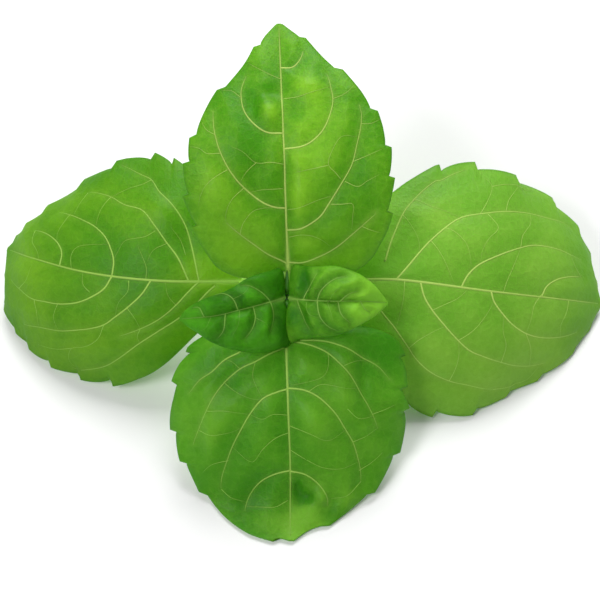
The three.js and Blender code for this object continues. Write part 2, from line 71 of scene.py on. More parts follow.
# Each leaf's side veins and small veins, as (y, b) points from the midrib outward.
VEINS: dict[str, tuple[tuple[Line, ...], tuple[Line, ...]]] = {
    "leaf_top": (
        (
            ((0.265, 0), (0.271, -0.12), (0.297, -0.26), (0.353, -0.42), (0.411, -0.54),
             (0.485, -0.66), (0.549, -0.75), (0.643, -0.88)),
            ((0.545, 0), (0.549, -0.17), (0.577, -0.31), (0.631, -0.47), (0.691, -0.58),
             (0.731, -0.65), (0.778, -0.71)),
            ((0.03, 0), (0.082, -0.25), (0.132, -0.4), (0.18, -0.53), (0.226, -0.64)),
            ((0.176, 0), (0.196, 0.17), (0.232, 0.32), (0.281, 0.41), (0.349, 0.52), (0.419, 0.63),
             (0.491, 0.7), (0.567, 0.79), (0.647, 0.87)),
            ((0.487, 0), (0.491, 0.16), (0.511, 0.28), (0.551, 0.4), (0.607, 0.5), (0.667, 0.59),
             (0.717, 0.64), (0.774, 0.73)),
            ((0.81, 0), (0.808, 0.21), (0.834, 0.39), (0.878, 0.62)),
            ((0.04, 0), (0.048, 0.24), (0.088, 0.43), (0.128, 0.56), (0.174, 0.67), (0.214, 0.78),
             (0.248, 0.87)),
        ),
        (
            ((0.43, -0.01), (0.44, -0.14), (0.44, -0.29), (0.48, -0.42), (0.5, -0.54)),
            ((0.44, -0.29), (0.41, -0.38), (0.37, -0.45)),
            ((0.18, -0.53), (0.22, -0.47), (0.26, -0.36), (0.27, -0.25), (0.27, -0.11)),
            ((0.48, -0.65), (0.48, -0.79), (0.5, -0.88), (0.51, -0.98)),
            ((0.43, 0.64), (0.45, 0.79), (0.47, 0.92)),
            ((0.36, 0.56), (0.34, 0.68), (0.36, 0.77), (0.38, 0.89)),
            ((0.37, 0.52), (0.4, 0.46), (0.42, 0.41), (0.46, 0.44), (0.52, 0.56), (0.52, 0.72)),
            ((0.42, 0.41), (0.41, 0.26), (0.4, 0.11)),
            ((0.28, 0.43), (0.28, 0.53), (0.28, 0.64), (0.24, 0.64), (0.19, 0.65)),
            ((0.15, 0.03), (0.17, 0.17), (0.16, 0.33), (0.13, 0.47)),
            ((0.2, 0.75), (0.19, 0.83), (0.18, 0.94)),
            ((0.68, 0.02), (0.68, 0.22), (0.7, 0.46), (0.72, 0.64)),
            ((0.76, 0.02), (0.78, -0.26), (0.81, -0.61), (0.83, -0.88)),
            ((0.69, -0.58), (0.72, -0.78), (0.72, -0.92)),
            ((0.57, 0.79), (0.57, 0.89), (0.59, 1)),
            ((0.67, 0.59), (0.69, 0.77), (0.73, 0.98)),
            ((0.55, -0.75), (0.57, -0.88), (0.6, -0.96)),
            ((0.34, -0.03), (0.34, -0.21), (0.33, -0.36)),
            ((0.26, 0.02), (0.28, 0.19), (0.3, 0.34), (0.31, 0.45)),
            ((0.42, -0.57), (0.39, -0.71), (0.35, -0.81), (0.29, -0.87)),
            ((0.35, -0.41), (0.31, -0.54), (0.26, -0.62), (0.23, -0.64)),
        ),
    ),
    "leaf_bottom": (
        (
            ((0.08, 0), (0.098, -0.17), (0.136, -0.33), (0.192, -0.43), (0.263, -0.53),
             (0.347, -0.62), (0.429, -0.68), (0.503, -0.73)),
            ((0.082, -0.13), (0.086, -0.29), (0.098, -0.4), (0.126, -0.52), (0.162, -0.62),
             (0.206, -0.75), (0.265, -0.85)),
            ((0.291, 0), (0.303, -0.14), (0.339, -0.26), (0.405, -0.37), (0.483, -0.45),
             (0.551, -0.53), (0.633, -0.62), (0.733, -0.76)),
            ((0.671, 0), (0.685, -0.14), (0.727, -0.29), (0.784, -0.44), (0.836, -0.55)),
            ((0.106, 0), (0.138, 0.16), (0.172, 0.28), (0.202, 0.41), (0.257, 0.53), (0.317, 0.61),
             (0.389, 0.67), (0.481, 0.75), (0.557, 0.83)),
            ((0.295, 0), (0.311, 0.11), (0.335, 0.21), (0.399, 0.31), (0.471, 0.39), (0.553, 0.48),
             (0.645, 0.58), (0.766, 0.74)),
            ((0.667, 0), (0.683, 0.14), (0.719, 0.28), (0.798, 0.47), (0.862, 0.62)),
            ((0.128, 0.44), (0.16, 0.56), (0.21, 0.65), (0.242, 0.75), (0.297, 0.84)),
        ),
        (
            ((0.31, -0.17), (0.28, -0.28), (0.3, -0.47), (0.3, -0.57)),
            ((0.39, -0.47), (0.44, -0.56), (0.44, -0.68)),
            ((0.49, 0), (0.51, 0.12), (0.56, 0.23), (0.62, 0.33), (0.55, 0.48)),
            ((0.46, -0.01), (0.49, -0.17), (0.53, -0.32), (0.49, -0.46)),
            ((0.14, -0.35), (0.21, -0.33), (0.25, -0.28), (0.27, -0.15), (0.28, -0.02)),
            ((0.17, 0.28), (0.24, 0.29), (0.33, 0.21)),
            ((0.26, 0.53), (0.3, 0.43), (0.33, 0.31), (0.34, 0.21)),
            ((0.38, 0.66), (0.38, 0.52), (0.39, 0.41), (0.4, 0.31)),
            ((0.48, 0.74), (0.49, 0.62), (0.48, 0.47), (0.46, 0.39)),
            ((0.55, -0.53), (0.53, -0.62), (0.5, -0.73)),
            ((0.68, -0.67), (0.65, -0.75), (0.61, -0.82)),
            ((0.57, 0), (0.61, -0.13), (0.65, -0.29), (0.66, -0.47), (0.64, -0.63)),
            ((0.62, 0.54), (0.64, 0.69), (0.69, 0.83)),
            ((0.81, 0.03), (0.84, 0.19), (0.84, 0.37), (0.84, 0.56)),
            ((0.43, -0.68), (0.41, -0.79), (0.39, -0.88)),
            ((0.2, 0.41), (0.17, 0.49), (0.16, 0.56)),
            ((0.2, -0.46), (0.18, -0.57), (0.18, -0.67)),
            ((0.41, 0.01), (0.4, 0.13), (0.42, 0.21), (0.4, 0.31)),
            ((0.77, 0.74), (0.8, 0.68), (0.82, 0.54)),
            ((0.73, -0.76), (0.78, -0.69), (0.8, -0.52)),
        ),
    ),
    "leaf_left": (
        (
            ((0.188, 0), (0.228, 0.19), (0.281, 0.32), (0.325, 0.42), (0.381, 0.52), (0.467, 0.56),
             (0.535, 0.63), (0.607, 0.69), (0.665, 0.74)),
            ((0.465, 0), (0.465, 0.11), (0.483, 0.2), (0.519, 0.3), (0.573, 0.38), (0.643, 0.45),
             (0.711, 0.53), (0.77, 0.63)),
            ((0.683, 0), (0.685, 0.12), (0.711, 0.21), (0.756, 0.3), (0.814, 0.41), (0.85, 0.48)),
            ((0.152, 0), (0.184, 0.36), (0.214, 0.51), (0.259, 0.61), (0.321, 0.69), (0.369, 0.78),
             (0.441, 0.83), (0.551, 0.93)),
            ((0.465, 0), (0.487, -0.11), (0.527, -0.19), (0.583, -0.27), (0.655, -0.33),
             (0.721, -0.36), (0.786, -0.39), (0.858, -0.37), (0.918, -0.35)),
            ((0.321, 0), (0.351, -0.14), (0.397, -0.26), (0.441, -0.35), (0.485, -0.43),
             (0.571, -0.5), (0.649, -0.57), (0.741, -0.63), (0.83, -0.72)),
            ((0.152, 0), (0.19, -0.16), (0.234, -0.31), (0.285, -0.41), (0.351, -0.47),
             (0.423, -0.52)),
            ((0.096, -0.12), (0.162, -0.4), (0.224, -0.5), (0.283, -0.54), (0.351, -0.61),
             (0.425, -0.73), (0.487, -0.82), (0.555, -0.87), (0.613, -0.92)),
        ),
        (
            ((0.32, 0.38), (0.36, 0.32), (0.43, 0.28), (0.45, 0.21), (0.47, 0.11)),
            ((0.34, 0), (0.34, 0.09), (0.36, 0.18), (0.38, 0.25)),
            ((0.63, 0.01), (0.64, 0.12), (0.62, 0.2), (0.56, 0.23), (0.5, 0.24)),
            ((0.6, -0.69), (0.67, -0.77), (0.75, -0.82)),
            ((0.35, -0.47), (0.36, -0.54), (0.35, -0.61)),
            ((0.54, 0.63), (0.56, 0.56), (0.57, 0.47), (0.57, 0.38)),
            ((0.71, 0.53), (0.72, 0.44), (0.73, 0.33), (0.72, 0.22)),
            ((0.2, 0.22), (0.22, 0.34), (0.26, 0.43)),
            ((0.48, -0.43), (0.5, -0.55), (0.55, -0.64), (0.6, -0.69), (0.62, -0.83), (0.6, -0.91)),
            ((0.4, -0.26), (0.37, -0.36), (0.35, -0.47)),
            ((0.54, -0.16), (0.57, -0.1), (0.58, 0.01)),
            ((0.66, -0.33), (0.67, -0.46), (0.65, -0.57)),
            ((0.77, -0.39), (0.75, -0.49), (0.74, -0.63)),
            ((0.4, -0.02), (0.4, -0.12), (0.43, -0.22), (0.44, -0.35)),
            ((0.37, 0.78), (0.41, 0.73), (0.47, 0.69), (0.54, 0.63)),
            ((0.67, 0.74), (0.68, 0.64), (0.69, 0.51)),
            ((0.85, 0.48), (0.84, 0.27), (0.8, 0.11), (0.78, -0.02)),
            ((0.86, -0.37), (0.82, -0.23), (0.81, -0.06)),
            ((0.27, 0.3), (0.32, 0.23), (0.34, 0.13)),
            ((0.23, -0.31), (0.26, -0.16), (0.27, -0.02)),
        ),
    ),
    "leaf_right": (
        (
            ((0.192, 0), (0.226, -0.13), (0.255, -0.24), (0.287, -0.34), (0.331, -0.44),
             (0.379, -0.52), (0.451, -0.57), (0.559, -0.63), (0.673, -0.68), (0.766, -0.72),
             (0.874, -0.83)),
            ((0.405, 0), (0.423, -0.1), (0.459, -0.19), (0.531, -0.28), (0.611, -0.36),
             (0.673, -0.41), (0.764, -0.44), (0.834, -0.45), (0.888, -0.48)),
            ((0.701, 0), (0.719, -0.09), (0.758, -0.16), (0.806, -0.21), (0.88, -0.27)),
            ((0.156, -0.2), (0.174, -0.43), (0.202, -0.66), (0.232, -0.77), (0.269, -0.84),
             (0.331, -0.89), (0.395, -0.93)),
            ((0.271, 0), (0.289, 0.11), (0.321, 0.2), (0.371, 0.3), (0.421, 0.39), (0.465, 0.46),
             (0.509, 0.5), (0.577, 0.57), (0.641, 0.65), (0.705, 0.72), (0.766, 0.77)),
            ((0.507, 0), (0.521, 0.08), (0.555, 0.17), (0.595, 0.26), (0.651, 0.35), (0.715, 0.42),
             (0.802, 0.49), (0.878, 0.54)),
            ((0.112, 0.18), (0.148, 0.32), (0.198, 0.42), (0.257, 0.53), (0.287, 0.59),
             (0.347, 0.66), (0.421, 0.71), (0.491, 0.74), (0.583, 0.82)),
        ),
        (
            ((0.48, -0.58), (0.52, -0.48), (0.48, -0.38), (0.46, -0.28), (0.46, -0.19)),
            ((0.51, -0.82), (0.58, -0.87), (0.65, -0.9), (0.71, -0.93)),
            ((0.33, -0.44), (0.36, -0.41), (0.4, -0.33), (0.42, -0.24), (0.43, -0.14)),
            ((0.58, 0.57), (0.58, 0.43), (0.56, 0.3), (0.56, 0.18)),
            ((0.42, 0.39), (0.46, 0.31), (0.49, 0.21), (0.52, 0.08)),
            ((0.29, -0.34), (0.32, -0.25), (0.35, -0.14), (0.38, -0.02)),
            ((0.32, 0.2), (0.36, 0.14), (0.4, 0.08), (0.43, 0)),
            ((0.42, 0.71), (0.43, 0.58), (0.43, 0.48), (0.42, 0.39)),
            ((0.26, 0.53), (0.29, 0.44), (0.33, 0.36), (0.37, 0.3)),
            ((0.23, -0.77), (0.28, -0.64), (0.34, -0.56), (0.38, -0.52)),
            ((0.56, -0.63), (0.58, -0.74), (0.64, -0.89)),
            ((0.61, -0.36), (0.62, -0.46), (0.66, -0.58), (0.67, -0.68)),
            ((0.58, 0.82), (0.65, 0.86), (0.71, 0.88), (0.74, 0.78)),
            ((0.65, 0.35), (0.68, 0.51), (0.7, 0.72)),
            ((0.7, -0.02), (0.67, 0.09), (0.66, 0.23), (0.65, 0.35)),
            ((0.55, 0), (0.56, -0.1), (0.58, -0.21), (0.61, -0.36)),
            ((0.82, 0), (0.81, 0.16), (0.79, 0.32), (0.8, 0.49)),
            ((0.88, -0.27), (0.85, -0.34), (0.83, -0.45)),
            ((0.22, 0.01), (0.22, 0.16), (0.21, 0.33), (0.2, 0.42)),
            ((0.2, -0.66), (0.23, -0.49), (0.25, -0.37), (0.26, -0.24)),
            ((0.45, -0.57), (0.48, -0.68), (0.51, -0.82), (0.48, -0.9)),
        ),
    ),
    "young_leaf_left": (
        (
            ((0.341, 0), (0.351, -0.24), (0.409, -0.47), (0.473, -0.64)),
            ((0.577, 0), (0.613, -0.44), (0.669, -0.73)),
            ((0.17, 0), (0.176, -0.31), (0.244, -0.58)),
            ((0.17, 0), (0.24, 0.37), (0.333, 0.73), (0.405, 0.89)),
            ((0.471, 0), (0.487, 0.53), (0.549, 0.9), (0.659, 0.99)),
            ((0.762, 0), (0.8, 0.56), (0.87, 0.74)),
        ),
        (
            ((0.46, -0.02), (0.5, -0.31), (0.57, -0.6)),
            ((0.7, -0.03), (0.72, -0.37), (0.78, -0.62)),
            ((0.35, -0.24), (0.29, -0.39), (0.24, -0.58)),
            ((0.49, 0.53), (0.4, 0.56), (0.33, 0.73)),
        ),
    ),
    "young_leaf_right": (
        (
            ((0.182, 0), (0.216, -0.24), (0.273, -0.53), (0.321, -0.8)),
            ((0.325, 0), (0.371, -0.31), (0.477, -0.59), (0.577, -0.72)),
            ((0.531, 0), (0.599, -0.22), (0.685, -0.36)),
            ((0.116, 0), (0.19, 0.38), (0.275, 0.78)),
            ((0.325, 0), (0.361, 0.41), (0.431, 0.69), (0.511, 0.85)),
            ((0.513, 0), (0.539, 0.39), (0.617, 0.71)),
            ((0.709, 0), (0.747, 0.34), (0.802, 0.56)),
        ),
        (
            ((0.22, -0.24), (0.3, -0.37), (0.37, -0.31)),
            ((0.42, 0.03), (0.46, 0.31), (0.48, 0.59)),
            ((0.23, 0.07), (0.28, 0.36), (0.36, 0.47)),
            ((0.43, 0.06), (0.47, -0.2), (0.54, -0.41)),
        ),
    ),
}


class Half(Enum):
    """The two sides of a leaf, seen from its stalk: LEFT has negative b, RIGHT has positive b."""

    LEFT = 0
    RIGHT = 1

    @property
    def sign(self) -> float:
        """The sign of b on this side."""
        return -1.0 if self is Half.LEFT else 1.0


def smooth(value: np.ndarray | float) -> np.ndarray:
    """The smooth step 3v^2 - 2v^3 of a value held between 0 and 1."""
    held = np.clip(value, 0, 1)
    return held * held * (3 - 2 * held)


def unit(vectors: np.ndarray) -> np.ndarray:
    """Vectors divided by their lengths."""
    return vectors / np.maximum(np.linalg.norm(vectors, axis=-1, keepdims=True), 1e-12)


def along_leaf(values: Triple, y: np.ndarray) -> np.ndarray:
    """The parabola through values at y = 0, 0.5 and 1."""
    base, middle, tip = values
    return base * (1 - y) * (1 - 2 * y) + middle * 4 * y * (1 - y) + tip * y * (2 * y - 1)


@dataclass(frozen=True)
class FaceFrame:
    """Where the rosette's face frame stands in the part."""

    tilt_deg: float = 58.0
    node_height: float = 28.0
    centre: Pair = (3.9, 4.3)

    @property
    def up(self) -> np.ndarray:
        """The frame's up direction in the part."""
        tilt = math.radians(self.tilt_deg)
        return np.array([0.0, math.sin(tilt), math.cos(tilt)])

    @property
    def out(self) -> np.ndarray:
        """The way that the rosette faces."""
        tilt = math.radians(self.tilt_deg)
        return np.array([0.0, -math.cos(tilt), math.sin(tilt)])

    @property
    def node(self) -> np.ndarray:
        """The rosette's node in the part."""
        return np.array([-self.centre[0], -self.centre[1], self.node_height])

    def to_part(self, points: np.ndarray) -> np.ndarray:
        """Turns face-frame points into points of the part: node + right * X + up * U + out * O."""
        right = np.array([1.0, 0.0, 0.0])
        return self.node + points[..., :1] * right + points[..., 1:2] * self.up + points[..., 2:3] * self.out


FACE = FaceFrame()


class Path:
    """A Catmull-Rom curve through points, sampled evenly by length.

    Between points b and c, with a before and d after them, the curve is
    (2b + (c - a)t + (2a - 5b + 4c - d)t^2 + (3b - a - 3c + d)t^3) / 2.
    """

    def __init__(self, points: list[Triple] | np.ndarray, samples: int = 600) -> None:
        """Samples the curve.

        Args:
            points: what the curve passes through.
            samples: how many even steps are kept.
        """
        p = np.array(points, float)
        p = np.vstack([2 * p[0] - p[1], p, 2 * p[-1] - p[-2]])
        t = np.linspace(0, 1, 60, endpoint=False)[None, :, None]
        a, b, c, d = (p[i : len(p) - 3 + i, None, :] for i in range(4))
        curve = 0.5 * (
            2 * b + (c - a) * t + (2 * a - 5 * b + 4 * c - d) * t**2 + (3 * b - a - 3 * c + d) * t**3
        )
        curve = np.vstack([curve.reshape(-1, p.shape[1]), p[-2]])
        run = np.r_[0, np.cumsum(np.linalg.norm(np.diff(curve, axis=0), axis=1))]
        self.length = float(run[-1])
        self.places = np.linspace(0, 1, samples)
        even = self.places * self.length
        self.samples = np.stack([np.interp(even, run, curve[:, k]) for k in range(p.shape[1])], -1)

    def at(self, u: np.ndarray) -> np.ndarray:
        """Points at parts u of the length."""
        columns = [np.interp(u, self.places, column) for column in self.samples.T]
        return np.stack(columns, -1)

    def along(self, u: np.ndarray, step: float = 0.01) -> np.ndarray:
        """Unit directions at parts u of the length."""
        return unit(self.at(np.clip(u + step, 0, 1)) - self.at(np.clip(u - step, 0, 1)))


@dataclass
class Shell:
    """Points, faces and point values of closed lofted bodies that make up one mesh."""

    points: list[np.ndarray] = field(default_factory=list)
    quads: list[np.ndarray] = field(default_factory=list)
    triangles: list[np.ndarray] = field(default_factory=list)
    values: dict[str, list[np.ndarray]] = field(default_factory=dict)
    uv: list[np.ndarray] = field(default_factory=list)
    count: int = 0

    def loft(self, rings: np.ndarray, uv: np.ndarray, **values: np.ndarray) -> None:
        """Joins closed rings in turn and closes both ends with a fan round the end ring's middle.

        Args:
            rings: an array of shape (rings, points, 3), each ring turning the same way.
            uv: the surface place of each ring point, of shape (rings, points, 2).
            values: a value for each ring point, of shape (rings, points), by attribute name.
        """
        number, size, _ = rings.shape
        index = self.count + np.arange(number * size).reshape(number, size)
        beside = np.roll(index, -1, axis=1)
        quads = np.stack([index[:-1], beside[:-1], beside[1:], index[1:]], -1).reshape(-1, 4)
        first, last = self.count + number * size, self.count + number * size + 1
        start = np.stack([np.full(size, first), beside[0], index[0]], -1)
        end = np.stack([np.full(size, last), index[-1], beside[-1]], -1)
        self.points.append(np.vstack([rings.reshape(-1, 3), rings[0].mean(0), rings[-1].mean(0)]))
        self.quads.append(quads)
        self.triangles.append(np.vstack([start, end]))
        self.uv.append(np.vstack([uv.reshape(-1, 2), uv[0].mean(0), uv[-1].mean(0)]))
        for name, value in values.items():
            self.values.setdefault(name, []).append(np.r_[value.ravel(), value[0].mean(), value[-1].mean()])
        self.count += number * size + 2

    def to_object(self, name: str, material: bpy.types.Material) -> bpy.types.Object:
        """Makes the mesh and its object at the origin, in metres.

        Args:
            name: the piece's name.
            material: its finish.

        Returns:
            The new object, shaded smooth, linked to the scene.
        """
        points = np.vstack(self.points) * MM
        quads, triangles = np.vstack(self.quads), np.vstack(self.triangles)
        corners = np.concatenate([quads.ravel(), triangles.ravel()])
        sizes = np.concatenate([np.full(len(quads), 4), np.full(len(triangles), 3)])
        mesh = bpy.data.meshes.new(name)
        mesh.vertices.add(len(points))
        mesh.loops.add(len(corners))
        mesh.polygons.add(len(sizes))
        mesh.vertices.foreach_set("co", points.ravel())
        mesh.loops.foreach_set("vertex_index", corners)
        mesh.polygons.foreach_set("loop_start", np.r_[0, np.cumsum(sizes)[:-1]])
        mesh.polygons.foreach_set("use_smooth", np.ones(len(sizes), bool))
        layer = mesh.uv_layers.new(name="leaf_mm")
        layer.data.foreach_set("uv", np.vstack(self.uv)[corners].ravel())
        for label, parts in self.values.items():
            data = mesh.attributes.new(label, "FLOAT", "POINT").data
            data.foreach_set("value", np.concatenate(parts).astype(np.float32))
        mesh.update(calc_edges=True)
        mesh.validate()
        mesh.materials.append(material)
        piece = bpy.data.objects.new(name, mesh)
        bpy.context.scene.collection.objects.link(piece)
        return piece


@dataclass(frozen=True)
class Side:
    """One side of a leaf: its outline, how it bends and its teeth."""

    half_widths: tuple[float, ...]
    fold: Triple
    curl: Triple
    teeth: tuple[float, ...]

    def half_width(self, y: np.ndarray) -> np.ndarray:
        """Distance from the midrib to the margin: a cubic through the stations with slopes from their neighbours."""
        v = np.r_[0, self.half_widths, 0]
        before = np.maximum(np.arange(len(v)) - 1, 0)
        after = np.minimum(np.arange(len(v)) + 1, len(v) - 1)
        slope = (v[after] - v[before]) / (STATIONS[after] - STATIONS[before])
        k = np.clip(np.searchsorted(STATIONS, y) - 1, 0, len(v) - 2)
        gap = STATIONS[k + 1] - STATIONS[k]
        t = np.clip((y - STATIONS[k]) / gap, 0, 1)
        level = v[k] + t * t * (3 - 2 * t) * (v[k + 1] - v[k])
        return np.maximum(0, level + gap * t * (1 - t) * ((1 - t) * slope[k] - t * slope[k + 1]))

    def tooth_offset(self, y: np.ndarray, depth: float) -> np.ndarray:
        """How far teeth move the margin: each rises as f^0.75 to its tip and falls steeply to the next notch."""
        if not self.teeth:
            return np.zeros_like(y)
        tips = np.array(self.teeth)
        first = tips[0] - 0.8 * (tips[1] - tips[0])
        edges = np.r_[tips, 1.0]
        k = np.clip(np.searchsorted(tips, y, side="right") - 1, 0, len(tips) - 1)
        f = np.clip((y - edges[k]) / (edges[k + 1] - edges[k]), 0, 1)
        rising = np.clip((f - NOTCH) / (1 - NOTCH), 0, 1) ** 0.75
        profile = np.where(f < NOTCH, 1 - f / NOTCH, rising) - 0.5
        profile = profile * np.where(k == len(tips) - 1, 1 - f, 1)
        lead_in = 0.5 * np.clip((y - first) / (tips[0] - first), 0, 1)
        return depth * np.where(y < tips[0], lead_in, profile)

    def forward_offset(self, y: np.ndarray, depth: float, length: float) -> np.ndarray:
        """How far teeth push the margin along the leaf where it closes round the end.

        With g the gap between two tips and f the part of it passed, a tooth gives
        min(0.8 depth, 0.4 g) (1 - |sin(pi f)|), times s^2 / (1 + s^2) for the margin's slope s.

        Args:
            y: places along the blade.
            depth: the teeth's full depth in millimetres.
            length: the blade's length in millimetres.

        Returns:
            Offsets towards the tip, in millimetres.
        """
        if not self.teeth:
            return np.zeros_like(y)
        tips = np.array([*self.teeth, 1.0])
        k = np.clip(np.searchsorted(tips, y, side="right") - 1, 0, len(tips) - 2)
        gap = tips[k + 1] - tips[k]
        wave = 1 - np.abs(np.sin(np.pi * (y - tips[k]) / gap))
        wave = wave * np.where(y < tips[0], 0.0, 1.0) * smooth((1 - y) / 0.01)
        slope = (self.half_width(y + 0.004) - self.half_width(y - 0.004)) / (0.008 * length)
        return np.minimum(0.8 * depth, 0.4 * gap * length) * wave * slope**2 / (1 + slope**2)

    def ring_places(self, plain: int) -> np.ndarray:
        """Places along y that keep every tip and notch sharp, or evenly turned places where there are no teeth."""
        if not self.teeth:
            return 0.5 - 0.5 * np.cos(np.pi * np.arange(plain) / (plain - 1))
        first = self.teeth[0] - 0.8 * (self.teeth[1] - self.teeth[0])
        places = [0, 0.012, 0.04, 0.5 * (0.04 + first), first, 0.5 * (first + self.teeth[0]), self.teeth[0]]
        for tip, following in zip(self.teeth, (*self.teeth[1:], 1.0)):
            notch = tip + NOTCH * (following - tip)
            places += [notch, notch + 0.45 * (following - notch), following]
        return np.array(places)


@dataclass(frozen=True)
class Swell:
    """A soft bulge at (y, b): height times exp(-distance^2), with its reach along and across in millimetres.

    A negative height makes a hollow. As a painted shading spot, the height lightens or darkens the colour instead of
    the shape.
    """

    y: float
    b: float
    along: float
    across: float
    height: float


@dataclass
class Leaf:
    """A leaf on its stalk: a folded and curled blade with teeth, quilting, veins and a net of small veins."""

    name: str
    midrib: list[Triple]
    rightward: Triple
    sides: tuple[Side, Side]
    finish: LeafFinish
    anchor: Triple
    petiole: float = 8.0
    stalk: float = 1.1
    lobe: float = 0.0
    tooth_depth: float = 1.8
    wave: Triple = (0.6, 3.0, 1.0)
    quilt: float = 0.4
    puff: float = 4.2
    pucker: float = 0.08
    swells: tuple[Swell, ...] = ()
    # Spots that lighten or darken the blade's colour: mostly painted shade in folds, dents, creases and hollows and
    # painted highlights on bulges and ridges, with some lighter tips and bases.
    tint_and_painted_shading_spots: tuple[Swell, ...] = ()
    blade: float = 0.62
    vein_width: float = 0.36
    spacing: float = 0.5
    across_count: int = 45

    def __post_init__(self) -> None:
        """Prepares the midrib's path and the veins as smooth lines of (y, b) points."""
        self.path = Path(self.midrib)
        side, small = VEINS[self.name]
        self.side_veins = [Path(line, 40).samples for line in side]
        self.small_veins = [Path(line, 16).samples for line in small]
        self.midline = np.stack([np.linspace(0.0, 0.99, 60), np.zeros(60)], -1)

    def frame_at(self, y: np.ndarray) -> tuple[np.ndarray, np.ndarray, np.ndarray, np.ndarray]:
        """The midrib's point, its direction, the direction across and the blade's outward direction at y.

        The direction across is "rightward" with its part along the midrib taken away, and the outward
        direction is across x along.

        Args:
            y: places on the blade; negative ones lie on the stalk.

        Returns:
            Four arrays of vectors.
        """
        length = self.path.length
        u = np.clip((self.petiole + (length - self.petiole) * y) / length, 0, 1)
        along = self.path.along(u)
        rightward = np.array(self.rightward, float)
        across = unit(rightward - (along @ rightward)[..., None] * along)
        return self.path.at(u), along, across, np.cross(across, along)

    def by_side(self, b: np.ndarray, left: np.ndarray, right: np.ndarray) -> np.ndarray:
        """Takes the left array where b is negative and the right one elsewhere."""
        return np.where(b > 0, right, left)

    def half_width(self, y: np.ndarray, b: np.ndarray) -> np.ndarray:
        """Distance from the midrib to the toothless margin on b's side."""
        left, right = self.sides
        return self.by_side(b, left.half_width(y), right.half_width(y))

    def middle(self, y: np.ndarray, b: np.ndarray, toothed: bool = True) -> np.ndarray:
        """The blade's middle surface.

        A half-section is an arc that leaves the midrib at the fold angle and turns by the curl angle on
        its way to the margin: its point at distance d lies at angle fold + curl |b| / 2, at the chord
        d sin(h) / h with h = curl |b| / 2. Waves lift the margin, and lobes draw the base of the blade
        back along the midrib by lobe b^2.

        Args:
            y: places along the blade.
            b: places across it.
            toothed: False leaves the teeth out.

        Returns:
            Points in the face frame.
        """
        held = np.clip(y, 0, 1)
        reach = np.abs(b)
        right = b > 0
        origin, along, across, out = self.frame_at(y)
        plain = self.half_width(held, b)
        width = np.maximum(0.45, np.where(y < 0, self.stalk, np.where(y > 0.97, plain, np.maximum(self.stalk, plain))))
        left_side, right_side = self.sides
        if toothed:
            tooth = self.by_side(
                b, left_side.tooth_offset(y, self.tooth_depth), right_side.tooth_offset(y, self.tooth_depth)
            )
            length = self.path.length - self.petiole
            forward = self.by_side(
                b,
                left_side.forward_offset(y, self.tooth_depth, length),
                right_side.forward_offset(y, self.tooth_depth, length),
            )
            near_margin = np.clip((reach - 0.8) / 0.2, 0, 1)
            tooth, forward = tooth * near_margin, forward * near_margin
        else:
            tooth = forward = 0.0
        fold = np.radians(self.by_side(b, along_leaf(left_side.fold, held), along_leaf(right_side.fold, held)))
        curl = np.radians(self.by_side(b, along_leaf(left_side.curl, held), along_leaf(right_side.curl, held)))
        distance = (width * reach + tooth) * np.sinc(curl * reach / 2 / np.pi)
        turn = fold + curl * reach / 2
        amount, waves, phase = self.wave
        wave = amount * reach**3 * np.sin(2 * np.pi * waves * y + phase + 1.7 * right)
        lift = wave * smooth(y / 0.1) * smooth((1 - y) / 0.08)
        back = self.lobe * reach**2 * (1 - smooth(y / 0.3))
        return (
            origin
            + across * (distance * np.cos(turn) * np.sign(b))[..., None]
            + out * (distance * np.sin(turn) + lift)[..., None]
            + along * (forward - back)[..., None]
        )

    def normal(self, y: np.ndarray, b: np.ndarray, step: float = 0.006) -> np.ndarray:
        """The outward normal of the toothless blade, from its slopes along y and across b."""
        inside = np.clip(b, -1 + step, 1 - step)
        slope_y = self.middle(y + step, inside, False) - self.middle(y - step, inside, False)
        slope_b = self.middle(y, inside + step, False) - self.middle(y, inside - step, False)
        return unit(np.cross(slope_b, slope_y))

    def flat_place(self, y: np.ndarray, b: np.ndarray) -> np.ndarray:
        """The place on the blade laid flat, in millimetres: across from the midrib and along it."""
        across = self.half_width(np.clip(y, 0, 1), b) * b
        return np.stack([across, y * (self.path.length - self.petiole)], -1)

    def distance_to(self, lines: list[np.ndarray], y: np.ndarray, b: np.ndarray) -> np.ndarray:
        """Distance in millimetres to the nearest of some lines, on the blade laid flat.

        Args:
            lines: arrays of (y, b) points.
            y: places along the blade.
            b: places across it.

        Returns:
            The distance to the nearest straight piece of the lines, at most 30 mm.
        """
        place = self.flat_place(y, b).reshape(-1, 2)
        near = np.full(len(place), 30.0)
        for line in lines:
            points = self.flat_place(line[:, 0], line[:, 1])
            start, piece = points[:-1, None], np.diff(points, axis=0)[:, None]
            t = np.clip(((place - start) * piece).sum(-1) / np.maximum((piece**2).sum(-1), 1e-9), 0, 1)
            gap = np.linalg.norm(place - start - piece * t[..., None], axis=-1)
            near = np.minimum(near, gap.min(0))
        return near.reshape(np.shape(y))

    def sum_swells(self, swells: tuple[Swell, ...], y: np.ndarray, b: np.ndarray) -> np.ndarray:
        """The sum of some swells at places on the blade, by distance on the blade laid flat."""
        place = self.flat_place(y, b)
        total = np.zeros(np.shape(y))
        for swell in swells:
            centre = self.flat_place(np.array(swell.y), np.array(swell.b))
            far = (place - centre) / np.array([swell.across, swell.along])
            total = total + swell.height * np.exp(-(far**2).sum(-1))
        return total

